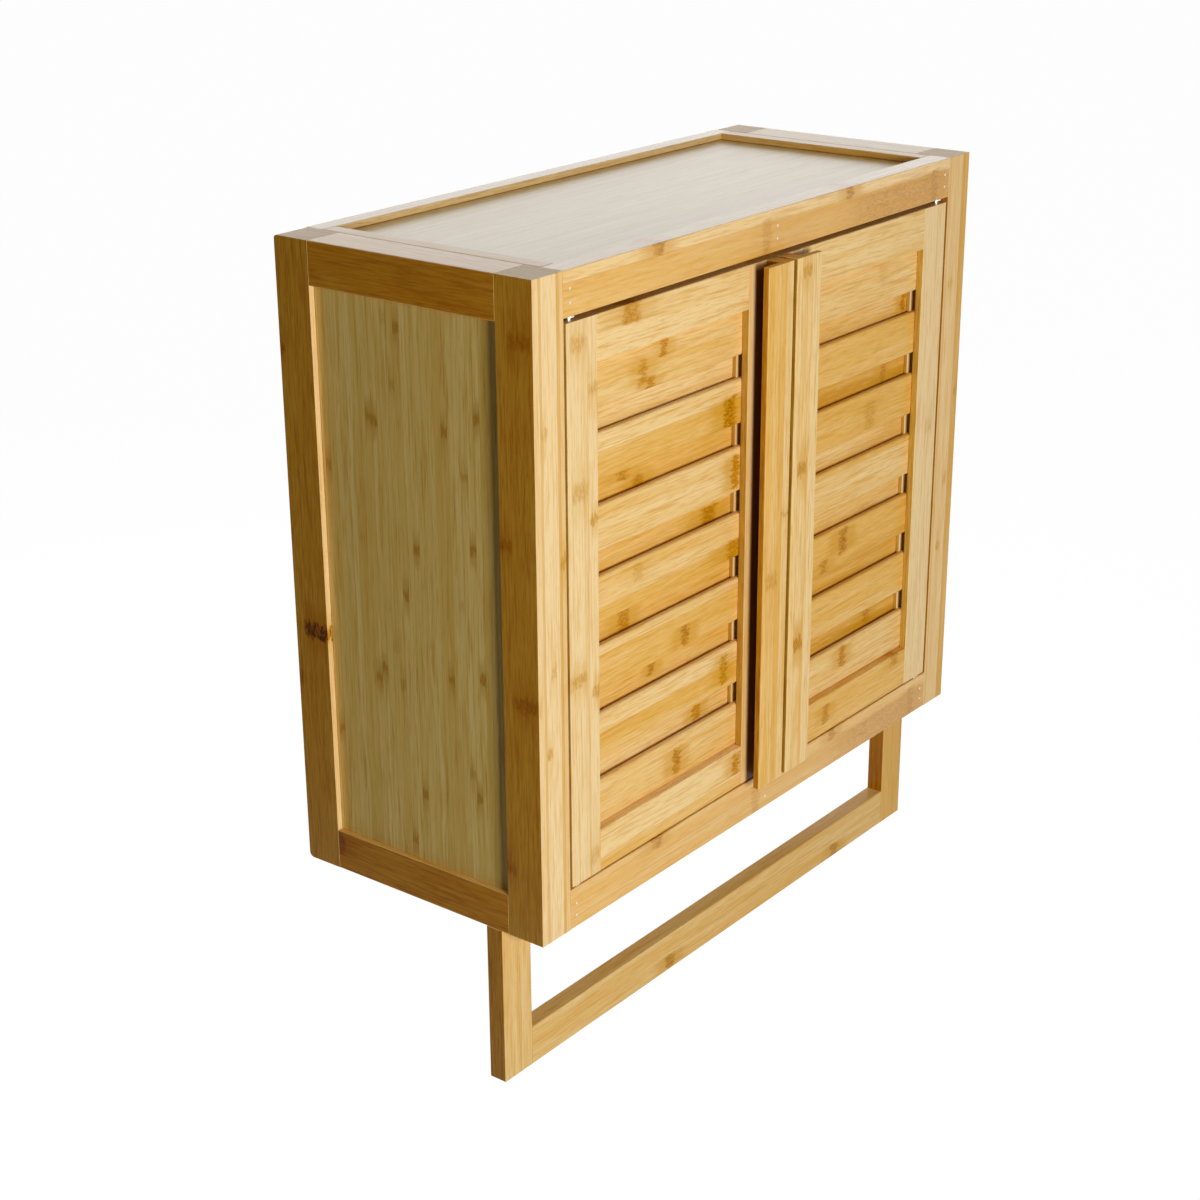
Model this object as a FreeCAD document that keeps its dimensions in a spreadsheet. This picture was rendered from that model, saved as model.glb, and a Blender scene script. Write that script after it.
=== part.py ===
import FreeCAD, Part
import os
import Sketcher

# Wall-hung bamboo bathroom cabinet: framed sides with thin panels, two inset louvred
# doors that turn on pivot pins, and a towel frame under the front.
#
# Frame of the part, in millimetres: +X to the right, +Y to the wall, +Z up. The origin
# lies on the wall plane, halfway between the two wall screws in the top back rail.

SIZES = {
    # Cabinet box, without the towel frame
    "width": 530.0,
    "depth": 218.0,
    "height": 455.0,
    "post": 30.0,
    "rail_height": 30.0,
    "front_rail": 18.0,
    "back_rail": 15.0,
    "strip_width": 13.0,
    "top_round": 2.5,
    "bottom_round": 4.0,
    # Thin panels in the frames
    "panel": 5.0,
    "side_setback": 4.8,
    "back_setback": 6.0,
    "level_setback": 5.0,
    "panel_tongue": 4.0,
    "panel_slack": 0.2,
    # Wall screws
    "screw_drop": 18.0,
    "screw_inset": 35.0,
    "screw_hole": 5.0,
    # Shelf on four pegs
    "shelf": 12.0,
    "shelf_rise": 222.0,
    "shelf_front_gap": 4.0,
    "shelf_slack": 0.5,
    "peg": 5.0,
    "peg_depth": 10.0,
    "peg_reach": 8.0,
    "peg_edge": 5.0,
    # Doors
    "door_thick": 18.0,
    "stop_gap": 2.0,
    "stile": 31.0,
    "door_rail": 31.0,
    "door_side_gap": 2.5,
    "door_top_gap": 3.5,
    "door_bottom_gap": 1.5,
    "door_middle_gap": 4.0,
    # Louvre slats in two layers
    "slat_count": 7,
    "slat_gap": 16.6,
    "slat_setback": 5.8,
    "front_slat": 4.0,
    "slat_land": 3.6,
    "rear_slat": 2.8,
    "rear_slat_lap": 6.0,
    "slat_tongue": 5.0,
    "slat_slack": 0.15,
    # Pull bar on each meeting stile
    "handle_width": 31.0,
    "handle_proud": 16.0,
    "handle_face": 5.0,
    "finger_gap": 20.0,
    "handle_round": 1.2,
    # Door pivots
    "pivot_inset": 8.0,
    "pivot_setback": 5.0,
    "pin": 4.0,
    "pin_socket": 8.0,
    "pin_reach": 14.0,
    "pin_clearance": 0.05,
    "pin_end_clearance": 1.0,
    "collar": 8.0,
    "collar_thick": 1.2,
    # Magnetic catch at the top
    "catch_width": 56.0,
    "catch_depth": 16.0,
    "catch_height": 16.0,
    "magnet": 8.0,
    "magnet_thick": 4.0,
    "magnet_offset": 16.0,
    "strike_width": 12.0,
    "strike_height": 10.0,
    "strike_thick": 1.2,
    # Nails through the front rails
    "nail": 1.8,
    "nail_length": 30.0,
    "nail_low": 9.0,
    "nail_pitch": 9.0,
    # Towel frame
    "towel_drop": 120.0,
    "towel_setback": 36.0,
    "towel_thick": 14.0,
    "towel_leg": 30.0,
    "towel_bar": 30.0,
    "tenon_length": 12.0,
    "tenon_shoulder": 4.0,
    "tenon_slack": 0.1,
}

SHEET = "Sizes"
SIDES = (("left", -1), ("right", 1))

# Planes of the cabinet as formulas of the sheet. X planes are distances from the middle.
OUTER = "Sizes.width / 2"
INNER = "(Sizes.width / 2 - Sizes.post)"
FRONT = "-Sizes.depth"
WALL = "0"
TOP = "Sizes.screw_drop"
BOTTOM = "(Sizes.screw_drop - Sizes.height)"
POST_BACK = f"({FRONT} + Sizes.post)"
DOOR_BACK = f"({FRONT} + Sizes.door_thick)"
RAIL_BACK = f"({FRONT} + Sizes.front_rail)"
CATCH_FRONT = f"({DOOR_BACK} + Sizes.stop_gap)"
TOP_RAIL_UNDER = f"({TOP} - Sizes.rail_height)"
BOTTOM_RAIL_OVER = f"({BOTTOM} + Sizes.rail_height)"
BACK_PANEL_FRONT = "(-Sizes.back_setback - Sizes.panel)"
DOOR_HINGE_EDGE = f"({INNER} - Sizes.door_side_gap)"
DOOR_MEETING_EDGE = "(Sizes.door_middle_gap / 2)"
DOOR_TOP = f"({TOP_RAIL_UNDER} - Sizes.door_top_gap)"
DOOR_BOTTOM = f"({BOTTOM_RAIL_OVER} + Sizes.door_bottom_gap)"
DOOR_HEIGHT = f"({DOOR_TOP} - {DOOR_BOTTOM})"
OPENING_BOTTOM = f"({DOOR_BOTTOM} + Sizes.door_rail)"
OPENING_TOP = f"({DOOR_TOP} - Sizes.door_rail)"
PIVOT_X = f"({DOOR_HINGE_EDGE} - Sizes.pivot_inset)"
PIVOT_Y = f"({FRONT} + Sizes.pivot_setback)"
PIN_BORE = "Sizes.pin / 2 + Sizes.pin_clearance"
PIN_BORE_DEPTH = "(Sizes.pin_reach + Sizes.pin_end_clearance)"
CATCH_Z = f"({DOOR_TOP} - Sizes.strike_height / 2 - Sizes.strike_thick)"
SHELF_UNDER = f"({BOTTOM} + Sizes.shelf_rise)"

# The slats' two grooves, as depths behind the door's front face
FRONT_SLAT = ("Sizes.slat_setback", "(Sizes.slat_setback + Sizes.front_slat)")
REAR_SLAT = (
    f"({FRONT_SLAT[1]} + Sizes.slat_land)",
    f"({FRONT_SLAT[1]} + Sizes.slat_land + Sizes.rear_slat)",
)

# Shared spans of the side and back panels, and of the towel frame
PANEL_Z = (f"{BOTTOM_RAIL_OVER} - Sizes.panel_tongue", f"{TOP_RAIL_UNDER} + Sizes.panel_tongue")
STRIP_MIDDLE = f"{INNER} - Sizes.strip_width / 2"
TOWEL_Y = (f"{FRONT} + Sizes.towel_setback", f"{FRONT} + Sizes.towel_setback + Sizes.towel_thick")
TOWEL_BOTTOM = f"({BOTTOM} - Sizes.towel_drop)"
TOWEL_BAR_TOP = f"({TOWEL_BOTTOM} + Sizes.towel_bar)"
TENON_Y = (f"{TOWEL_Y[0]} + Sizes.tenon_shoulder", f"{TOWEL_Y[1]} - Sizes.tenon_shoulder")

NAILS_IN_A_PAIR = 2
ARC_CENTRE = 3
POINT_TOLERANCE = 1e-6

doc = FreeCAD.newDocument("BathroomCabinet")
nodes = []


def make_sheet():
    """Write the driving dimensions into the document's spreadsheet."""
    sheet = doc.addObject("Spreadsheet::Sheet", SHEET)
    for row, (alias, size) in enumerate(SIZES.items(), start=1):
        sheet.set(f"A{row}", alias)
        sheet.set(f"B{row}", str(size))
        sheet.setAlias(f"B{row}", alias)
    doc.recompute()
    return sheet


def value(formula):
    """The number that a formula of the sheet gives."""
    return float(sheet.evalExpression(formula))


def node(solid, label):
    """Name a finished piece and list it for writing."""
    solid.Label = label
    nodes.append(solid)
    return solid


def on_side(side, low, high):
    """Span in X from two distances off the middle plane, on the left (-1) or right (1)."""
    if side > 0:
        return low, high
    return f"-({high})", f"-({low})"


def grown(span, extra):
    """A span made longer by the same amount at both ends."""
    return f"({span[0]}) - ({extra})", f"({span[1]}) + ({extra})"


def behind_front(span):
    """Y span from two depths behind the front plane."""
    return f"{FRONT} + {span[0]}", f"{FRONT} + {span[1]}"


def box(name, x, y, z):
    """A block between two planes in each direction."""
    block = doc.addObject("Part::Box", name)
    for size, axis, span in (("Length", "x", x), ("Width", "y", y), ("Height", "z", z)):
        block.setExpression(size, f"({span[1]}) - ({span[0]})")
        block.setExpression(f"Placement.Base.{axis}", span[0])
    return block


def rod(name, axis, radius, span, centre):
    """A round bar along one axis; centre gives its other two coordinates, in axis order."""
    turn = {
        "x": FreeCAD.Rotation(FreeCAD.Vector(0, 1, 0), 90),
        "y": FreeCAD.Rotation(FreeCAD.Vector(1, 0, 0), -90),
        "z": FreeCAD.Rotation(),
    }[axis]
    bar = doc.addObject("Part::Cylinder", name)
    bar.Placement = FreeCAD.Placement(FreeCAD.Vector(), turn)
    bar.setExpression("Radius", radius)
    bar.setExpression("Height", f"({span[1]}) - ({span[0]})")
    across = [other for other in "xyz" if other != axis]
    for where, formula in zip([axis] + across, [span[0]] + list(centre)):
        bar.setExpression(f"Placement.Base.{where}", formula)
    return bar


def fuse(name, pieces):
    """One solid from several that touch or overlap."""
    whole = doc.addObject("Part::MultiFuse", name)
    whole.Shapes = pieces
    whole.Refine = True
    return whole


def group(name, pieces):
    """Several separate solids under one name."""
    together = doc.addObject("Part::Compound", name)
    together.Links = pieces
    return together


def cut(name, blank, tools):
    """A blank with the space of every tool taken out of it."""
    for number, tool in enumerate(tools, start=1):
        less = doc.addObject("Part::Cut", f"{name}_cut_{number}")
        less.Base = blank
        less.Tool = tool
        blank = less
    return blank


def profile_body(name, plane, corners, length, place):
    """A body padded from a closed outline on one of its own origin planes.

    Each corner is (x, y, centre) in formulas, where centre is None for a straight edge to
    the next corner, or the (x, y) of the centre of a convex round one.
    """
    body = doc.addObject("PartDesign::Body", f"{name}_body")
    for axis, formula in zip("xyz", place):
        body.setExpression(f"Placement.Base.{axis}", formula)
    sketch = body.newObject("Sketcher::SketchObject", f"{name}_outline")
    origin_plane = [item for item in body.Origin.OriginFeatures if item.Role == plane][0]
    sketch.AttachmentSupport = (origin_plane, [""])
    sketch.MapMode = "FlatFace"
    draw_outline(sketch, corners)
    pad = body.newObject("PartDesign::Pad", f"{name}_pad")
    pad.Profile = sketch
    pad.setExpression("Length", length)
    doc.recompute()
    return body


def draw_outline(sketch, corners):
    """Draw the closed outline and hold every corner and arc centre at its formula."""
    points = [FreeCAD.Vector(value(x), value(y), 0) for x, y, _ in corners]
    following = points[1:] + points[:1]
    area = sum(a.x * b.y - b.x * a.y for a, b in zip(points, following))
    edges = []
    for start, finish, (_, _, centre) in zip(points, following, corners):
        if centre is None:
            edge = sketch.addGeometry(Part.LineSegment(start, finish))
        else:
            middle = FreeCAD.Vector(value(centre[0]), value(centre[1]), 0)
            outward = FreeCAD.Vector(finish.y - start.y, start.x - finish.x, 0)
            outward = outward * (area / abs(area))
            outward.normalize()
            crest = middle + outward * start.distanceToPoint(middle)
            edge = sketch.addGeometry(Part.Arc(start, crest, finish))
        forward = sketch.getPoint(edge, 1).isEqual(start, POINT_TOLERANCE)
        edges.append((edge, 1, 2) if forward else (edge, 2, 1))
    for (edge, _, last), (after, first, _) in zip(edges, edges[1:] + edges[:1]):
        sketch.addConstraint(Sketcher.Constraint("Coincident", edge, last, after, first))
    for (edge, first, _), (x, y, centre) in zip(edges, corners):
        hold(sketch, "DistanceX", edge, first, x)
        hold(sketch, "DistanceY", edge, first, y)
        if centre is not None:
            hold(sketch, "DistanceX", edge, ARC_CENTRE, centre[0])


def hold(sketch, kind, edge, point, formula):
    """Hold one coordinate of a sketch point at a formula."""
    number = sketch.addConstraint(Sketcher.Constraint(kind, edge, point, value(formula)))
    sketch.setExpression(f"Constraints[{number}]", formula)


def turned_over(corners, sign):
    """The outline as it is (1), or mirrored left to right (-1)."""
    flipped = []
    for x, y, centre in corners:
        if centre is not None:
            centre = (f"{sign} * ({centre[0]})", centre[1])
        flipped.append((f"{sign} * ({x})", y, centre))
    return flipped


def straight(points):
    """Corners with straight edges between them."""
    return [(x, y, None) for x, y in points]


def shelf_pegs():
    """Four pegs in the posts' inner faces, which carry the shelf."""
    pegs = []
    depths = (("front", f"{POST_BACK} - Sizes.peg_edge"), ("rear", "Sizes.peg_edge - Sizes.post"))
    height = f"{SHELF_UNDER} - Sizes.peg / 2"
    for name, side in SIDES:
        span = on_side(side, f"{INNER} - Sizes.peg_reach", f"{INNER} + Sizes.peg_depth")
        for end, depth in depths:
            pegs.append(rod(f"{name}_{end}_peg", "x", "Sizes.peg / 2", span, (depth, height)))
    return node(group("pegs", pegs), "shelf_pegs")


def pivot_pins():
    """Steel pins with a thin collar, two for each door, fast in the front rails."""
    pins = []
    for name, side in SIDES:
        centre = (f"{side} * {PIVOT_X}", PIVOT_Y)
        spans = {
            "top": (
                (f"{DOOR_TOP} - Sizes.pin_reach", f"{TOP_RAIL_UNDER} + Sizes.pin_socket"),
                (f"{TOP_RAIL_UNDER} - Sizes.collar_thick", TOP_RAIL_UNDER),
            ),
            "bottom": (
                (f"{BOTTOM_RAIL_OVER} - Sizes.pin_socket", f"{DOOR_BOTTOM} + Sizes.pin_reach"),
                (BOTTOM_RAIL_OVER, f"{BOTTOM_RAIL_OVER} + Sizes.collar_thick"),
            ),
        }
        for end, (shank_span, collar_span) in spans.items():
            shank = rod(f"{name}_{end}_shank", "z", "Sizes.pin / 2", shank_span, centre)
            collar = rod(f"{name}_{end}_collar", "z", "Sizes.collar / 2", collar_span, centre)
            pins.append(fuse(f"{name}_{end}_pin", [shank, collar]))
    return node(group("pins", pins), "pivot_pins")


def rail_nails():
    """Nails in pairs through the front rails, one pair into the end of each strip."""
    nails = []
    span = (FRONT, f"{FRONT} + Sizes.nail_length")
    places = {"left": f"-({STRIP_MIDDLE})", "middle": "0", "right": STRIP_MIDDLE}
    for level, base in (("top", TOP_RAIL_UNDER), ("bottom", BOTTOM)):
        for place, x in places.items():
            for number in range(NAILS_IN_A_PAIR):
                height = f"{base} + Sizes.nail_low + {number} * Sizes.nail_pitch"
                name = f"{level}_{place}_nail_{number + 1}"
                nails.append(rod(name, "y", "Sizes.nail / 2", span, (x, height)))
    return node(group("nails", nails), "rail_nails")


def side_frame(name, side, pegs, back_pocket):
    """Two posts, two rails and a thin panel held in their grooves."""
    x = on_side(side, INNER, OUTER)
    panel_x = on_side(side, f"{OUTER} - Sizes.side_setback - Sizes.panel", f"{OUTER} - Sizes.side_setback")
    panel_y = (f"{POST_BACK} - Sizes.panel_tongue", "Sizes.panel_tongue - Sizes.post")
    panel = (panel_x, panel_y, PANEL_Z)
    node(box(f"{name}_panel", *panel), f"{name}_side_panel")
    pocket = box(f"{name}_pocket", *[grown(span, "Sizes.panel_slack") for span in panel])

    front = box(f"{name}_front_blank", x, (FRONT, POST_BACK), (BOTTOM, TOP))
    node(cut(f"{name}_front", front, [pocket, pegs]), f"{name}_front_post")
    rear = rear_post_blank(name, x[0])
    node(cut(f"{name}_rear", rear, [pocket, back_pocket, pegs]), f"{name}_rear_post")

    between = (POST_BACK, "-Sizes.post")
    upper = box(f"{name}_upper_blank", x, between, (TOP_RAIL_UNDER, TOP))
    node(cut(f"{name}_upper", upper, [pocket]), f"{name}_side_top_rail")
    lower = box(f"{name}_lower_blank", x, between, (BOTTOM, BOTTOM_RAIL_OVER))
    tenon = box(f"{name}_mortise", *leg_tenon(side, "Sizes.tenon_slack"))
    node(cut(f"{name}_lower", lower, [pocket, tenon]), f"{name}_side_bottom_rail")


def rear_post_blank(name, x):
    """A post whose two corners at the wall are rounded, seen from the side."""
    low = "Sizes.bottom_round"
    high = "Sizes.top_round"
    corners = [
        ("-Sizes.post", "0", None),
        (f"-{low}", "0", (f"-{low}", low)),
        ("0", low, None),
        ("0", f"Sizes.height - {high}", (f"-{high}", f"Sizes.height - {high}")),
        (f"-{high}", "Sizes.height", None),
        ("-Sizes.post", "Sizes.height", None),
    ]
    return profile_body(f"{name}_rear_blank", "YZ_Plane", corners, "Sizes.post", (x, WALL, BOTTOM))


def level_frame(level, under, pins, nails, back_pocket):
    """The top or bottom: front and back rails, three strips and a thin panel."""
    over = f"({under} + Sizes.rail_height)"
    full = (under, over)
    panel_top = f"({over} - Sizes.level_setback)"
    panel_under = f"({panel_top} - Sizes.panel)"
    half = f"({INNER} - Sizes.strip_width + Sizes.panel_tongue)"
    panel_y = (f"{RAIL_BACK} - Sizes.panel_tongue", "Sizes.panel_tongue - Sizes.back_rail")
    panel = ((f"-{half}", half), panel_y, (panel_under, panel_top))
    node(box(f"{level}_board", *panel), f"{level}_panel")
    pocket = box(f"{level}_pocket", *[grown(span, "Sizes.panel_slack") for span in panel])

    x = (f"-{INNER}", INNER)
    front = box(f"{level}_front_blank", x, (FRONT, RAIL_BACK), full)
    node(cut(f"{level}_front", front, [pocket, pins, nails]), f"{level}_front_rail")
    back = box(f"{level}_back_blank", x, ("-Sizes.back_rail", WALL), full)
    tools = [pocket, back_pocket]
    if level == "top":
        tools.append(wall_screw_holes())
    node(cut(f"{level}_back", back, tools), f"{level}_back_rail")

    between = (RAIL_BACK, "-Sizes.back_rail")
    for name, side in SIDES:
        strip = on_side(side, f"{INNER} - Sizes.strip_width", INNER)
        blank = box(f"{level}_{name}_strip_blank", strip, between, full)
        node(cut(f"{level}_{name}_strip", blank, [pocket, nails]), f"{level}_{name}_strip")
    middle = ("-Sizes.strip_width / 2", "Sizes.strip_width / 2")
    blank = box(f"{level}_middle_strip_blank", middle, between, (under, panel_under))
    node(cut(f"{level}_middle_strip", blank, [nails]), f"{level}_middle_strip")


def wall_screw_holes():
    """Two holes through the top back rail, in line on the origin's height."""
    holes = []
    span = ("-Sizes.back_rail", WALL)
    for name, side in SIDES:
        place = (f"{side} * ({INNER} - Sizes.screw_inset)", "0")
        holes.append(rod(f"{name}_screw_hole", "y", "Sizes.screw_hole / 2", span, place))
    return group("screw_holes", holes)


def back_panel():
    """Thin back panel, and the space that its grooves leave for it."""
    half = f"({INNER} + Sizes.panel_tongue)"
    panel = ((f"-{half}", half), (BACK_PANEL_FRONT, "-Sizes.back_setback"), PANEL_Z)
    node(box("back_board", *panel), "back_panel")
    return box("back_pocket", *[grown(span, "Sizes.panel_slack") for span in panel])


def shelf():
    """One loose shelf between the posts."""
    half = f"({INNER} - Sizes.shelf_slack)"
    y = (f"{RAIL_BACK} + Sizes.shelf_front_gap", f"{BACK_PANEL_FRONT} - Sizes.shelf_slack")
    board = box("shelf_board", (f"-{half}", half), y, (SHELF_UNDER, f"{SHELF_UNDER} + Sizes.shelf"))
    node(board, "shelf")


def catch():
    """Block under the top middle strip with a magnet for each door."""
    magnets = []
    span = (CATCH_FRONT, f"{CATCH_FRONT} + Sizes.magnet_thick")
    for name, side in SIDES:
        place = (f"{side} * Sizes.magnet_offset", CATCH_Z)
        magnets.append(rod(f"{name}_magnet", "y", "Sizes.magnet / 2", span, place))
    pair = node(group("magnets", magnets), "catch_magnets")
    block = box(
        "catch_blank",
        ("-Sizes.catch_width / 2", "Sizes.catch_width / 2"),
        (CATCH_FRONT, f"{CATCH_FRONT} + Sizes.catch_depth"),
        (f"{TOP_RAIL_UNDER} - Sizes.catch_height", TOP_RAIL_UNDER),
    )
    node(cut("catch", block, [pair]), "catch_block")


def stile_outline():
    """A stile's section: x from its plain edge, y behind the front, with two slat grooves."""
    edge = "Sizes.stile"
    depth = "(Sizes.stile - Sizes.slat_tongue)"
    thick = "Sizes.door_thick"
    points = [(edge, "0")]
    for groove in (FRONT_SLAT, REAR_SLAT):
        near, far = grown(groove, "Sizes.slat_slack")
        points += [(edge, near), (depth, near), (depth, far), (edge, far)]
    points += [(edge, thick), ("0", thick), ("0", "0")]
    return straight(points)


def door(name, side, bores):
    """A louvred door: two stiles, two rails, two layers of slats, pull bar and strike plate."""
    hinge_place = (f"{side} * {DOOR_HINGE_EDGE}", FRONT, DOOR_BOTTOM)
    outline = turned_over(stile_outline(), -side)
    hinge = profile_body(f"{name}_hinge_stile", "XY_Plane", outline, DOOR_HEIGHT, hinge_place)
    node(cut(f"{name}_hinge_stile", hinge, [bores]), f"{name}_door_hinge_stile")
    meeting_place = (f"{side} * {DOOR_MEETING_EDGE}", FRONT, DOOR_BOTTOM)
    outline = turned_over(stile_outline(), side)
    meeting = profile_body(f"{name}_meeting_stile", "XY_Plane", outline, DOOR_HEIGHT, meeting_place)
    node(meeting, f"{name}_door_meeting_stile")

    opening = on_side(side, f"{DOOR_MEETING_EDGE} + Sizes.stile", f"{DOOR_HINGE_EDGE} - Sizes.stile")
    in_grooves = grown(opening, "Sizes.slat_tongue - Sizes.slat_slack")
    levels = {"top": (OPENING_TOP, DOOR_TOP), "bottom": (DOOR_BOTTOM, OPENING_BOTTOM)}
    for level, z in levels.items():
        core = box(f"{name}_{level}_core", opening, (FRONT, DOOR_BACK), z)
        tongues = [
            box(f"{name}_{level}_tongue_{number}", in_grooves, behind_front(layer), z)
            for number, layer in enumerate((FRONT_SLAT, REAR_SLAT), start=1)
        ]
        node(fuse(f"{name}_{level}_rail", [core] + tongues), f"{name}_door_{level}_rail")
    louvres(name, in_grooves)
    pull_bar(name, side)

    strike_x = on_side(
        side,
        "Sizes.magnet_offset - Sizes.strike_width / 2",
        "Sizes.magnet_offset + Sizes.strike_width / 2",
    )
    strike_z = grown((CATCH_Z, CATCH_Z), "Sizes.strike_height / 2")
    plate = box(f"{name}_strike", strike_x, (DOOR_BACK, f"{DOOR_BACK} + Sizes.strike_thick"), strike_z)
    node(plate, f"{name}_door_strike_plate")


def louvres(name, x):
    """Front slats with even gaps, and rear slats that cover those gaps from behind."""
    count = int(SIZES["slat_count"])
    opening = f"({OPENING_TOP} - {OPENING_BOTTOM})"
    height = f"(({opening} - {count - 1} * Sizes.slat_gap) / {count})"
    pitch = f"({height} + Sizes.slat_gap)"
    for number in range(count):
        low = f"({OPENING_BOTTOM} + {number} * {pitch})"
        slat = box(f"{name}_slat_{number}", x, behind_front(FRONT_SLAT), (low, f"{low} + {height}"))
        node(slat, f"{name}_door_front_slat_{number + 1}")
    rear = []
    for number in range(count - 1):
        low = f"({OPENING_BOTTOM} + {number} * {pitch} + {height})"
        z = grown((low, f"{low} + Sizes.slat_gap"), "Sizes.rear_slat_lap")
        rear.append(box(f"{name}_rear_slat_{number}", x, behind_front(REAR_SLAT), z))
    node(group(f"{name}_rear_layer", rear), f"{name}_door_rear_slats")


def pull_bar(name, side):
    """A bar on the meeting stile, cut back behind its outer edge for the fingers."""
    web = "(Sizes.handle_width - Sizes.finger_gap)"
    neck = "(Sizes.handle_face - Sizes.handle_proud)"
    face = "-Sizes.handle_proud"
    width = "Sizes.handle_width"
    round_over = "Sizes.handle_round"
    crown = f"({face} + {round_over})"
    corners = [
        ("0", "0", None),
        ("0", crown, (round_over, crown)),
        (round_over, face, None),
        (f"{width} - {round_over}", face, (f"{width} - {round_over}", crown)),
        (width, crown, None),
        (width, neck, None),
        (web, neck, None),
        (web, "0", None),
    ]
    place = (f"{side} * {DOOR_MEETING_EDGE}", FRONT, DOOR_BOTTOM)
    bar = profile_body(f"{name}_pull_bar", "XY_Plane", turned_over(corners, side), DOOR_HEIGHT, place)
    node(bar, f"{name}_door_pull_bar")


def pin_bores(name, side):
    """The space that a door's two pins need in its hinge stile."""
    centre = (f"{side} * {PIVOT_X}", PIVOT_Y)
    spans = {
        "top": (f"{DOOR_TOP} - {PIN_BORE_DEPTH}", DOOR_TOP),
        "bottom": (DOOR_BOTTOM, f"{DOOR_BOTTOM} + {PIN_BORE_DEPTH}"),
    }
    bores = [rod(f"{name}_{end}_bore", "z", PIN_BORE, span, centre) for end, span in spans.items()]
    return group(f"{name}_bores", bores)


def leg_tenon(side, slack):
    """Spans of the tenon on top of a towel leg, grown by the slack of its mortise."""
    inner = f"{OUTER} - Sizes.towel_leg + Sizes.tenon_shoulder"
    x = on_side(side, inner, f"{OUTER} - Sizes.tenon_shoulder")
    z = (BOTTOM, f"{BOTTOM} + Sizes.tenon_length + {slack}")
    return grown(x, slack), grown(TENON_Y, slack), z


def bar_tenons(slack):
    """Spans of the towel bar's two end tenons, grown by the slack of their mortises."""
    half = f"({OUTER} - Sizes.towel_leg + Sizes.tenon_length + {slack})"
    z = (f"{TOWEL_BOTTOM} + Sizes.tenon_shoulder", f"{TOWEL_BAR_TOP} - Sizes.tenon_shoulder")
    return (f"-{half}", half), grown(TENON_Y, slack), grown(z, slack)


def towel_frame():
    """Two legs under the side frames and a bar between them, all with hidden tenons."""
    mortises = box("bar_mortises", *bar_tenons("Sizes.tenon_slack"))
    for name, side in SIDES:
        x = on_side(side, f"{OUTER} - Sizes.towel_leg", OUTER)
        shaft = box(f"{name}_leg_shaft", x, TOWEL_Y, (TOWEL_BOTTOM, BOTTOM))
        tenon = box(f"{name}_leg_tenon", *leg_tenon(side, "0"))
        blank = fuse(f"{name}_leg_blank", [shaft, tenon])
        node(cut(f"{name}_leg", blank, [mortises]), f"{name}_towel_leg")
    half = f"({OUTER} - Sizes.towel_leg)"
    core = box("towel_bar_core", (f"-{half}", half), TOWEL_Y, (TOWEL_BOTTOM, TOWEL_BAR_TOP))
    tenons = box("towel_bar_tenons", *bar_tenons("0"))
    node(fuse("towel_bar_whole", [core, tenons]), "towel_bar")


def build():
    """Build every piece of the cabinet."""
    pegs = shelf_pegs()
    pins = pivot_pins()
    nails = rail_nails()
    back_pocket = back_panel()
    for name, side in SIDES:
        side_frame(name, side, pegs, back_pocket)
    for level, under in (("top", TOP_RAIL_UNDER), ("bottom", BOTTOM)):
        level_frame(level, under, pins, nails, back_pocket)
    shelf()
    catch()
    for name, side in SIDES:
        door(name, side, pin_bores(name, side))
    towel_frame()
    doc.recompute()


def check():
    """Stop if any object failed, or a piece is empty or not valid."""
    failed = [item.Label for item in doc.Objects if {"Invalid", "Error"} & set(item.State)]
    bad = [item.Label for item in nodes if item.Shape.isNull() or not item.Shape.isValid()]
    if failed or bad:
        raise RuntimeError(f"failed objects {failed}, bad shapes {bad}")


def write():
    """Write each piece to its own file."""
    os.makedirs("parts", exist_ok=True)
    for item in nodes:
        item.Shape.exportStep(f"parts/{item.Label}.step")
        print(item.Label, len(item.Shape.Solids), round(item.Shape.Volume))
    print(len(nodes), "pieces")


sheet = make_sheet()
build()
check()
write()
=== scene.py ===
"""Wall-hung bamboo bathroom cabinet: eased edges, bamboo and metal finishes, studio and camera."""

import logging
import math
import random
import zlib
from dataclasses import dataclass, field, replace
from enum import Enum

import bmesh
import bpy
from mathutils import Matrix, Vector


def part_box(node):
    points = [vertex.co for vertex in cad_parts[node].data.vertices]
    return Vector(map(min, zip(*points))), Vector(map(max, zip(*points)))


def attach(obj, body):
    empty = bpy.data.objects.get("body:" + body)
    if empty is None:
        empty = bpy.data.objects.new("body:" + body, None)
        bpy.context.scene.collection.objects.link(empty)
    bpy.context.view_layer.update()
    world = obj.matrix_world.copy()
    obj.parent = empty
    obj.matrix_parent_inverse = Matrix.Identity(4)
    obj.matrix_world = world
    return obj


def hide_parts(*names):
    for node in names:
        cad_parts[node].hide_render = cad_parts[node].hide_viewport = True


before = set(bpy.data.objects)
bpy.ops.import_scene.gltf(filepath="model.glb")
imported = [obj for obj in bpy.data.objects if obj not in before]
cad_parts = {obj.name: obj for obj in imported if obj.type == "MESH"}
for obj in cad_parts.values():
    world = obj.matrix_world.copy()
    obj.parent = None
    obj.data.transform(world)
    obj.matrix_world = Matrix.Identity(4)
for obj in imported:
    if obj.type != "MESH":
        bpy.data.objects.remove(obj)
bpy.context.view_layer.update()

LOG = logging.getLogger("cabinet")
MM = 1e-3
PER_METRE = 1000.0
# Farther than any point of a piece
FAR_MM = 1000.0
QUARTER_TURN = math.pi / 2
WHITE = "#FFFFFF"

# Sockets of the colour Mix node
MIX_FACTOR = 0
MIX_FIRST = 6
MIX_SECOND = 7

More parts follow.
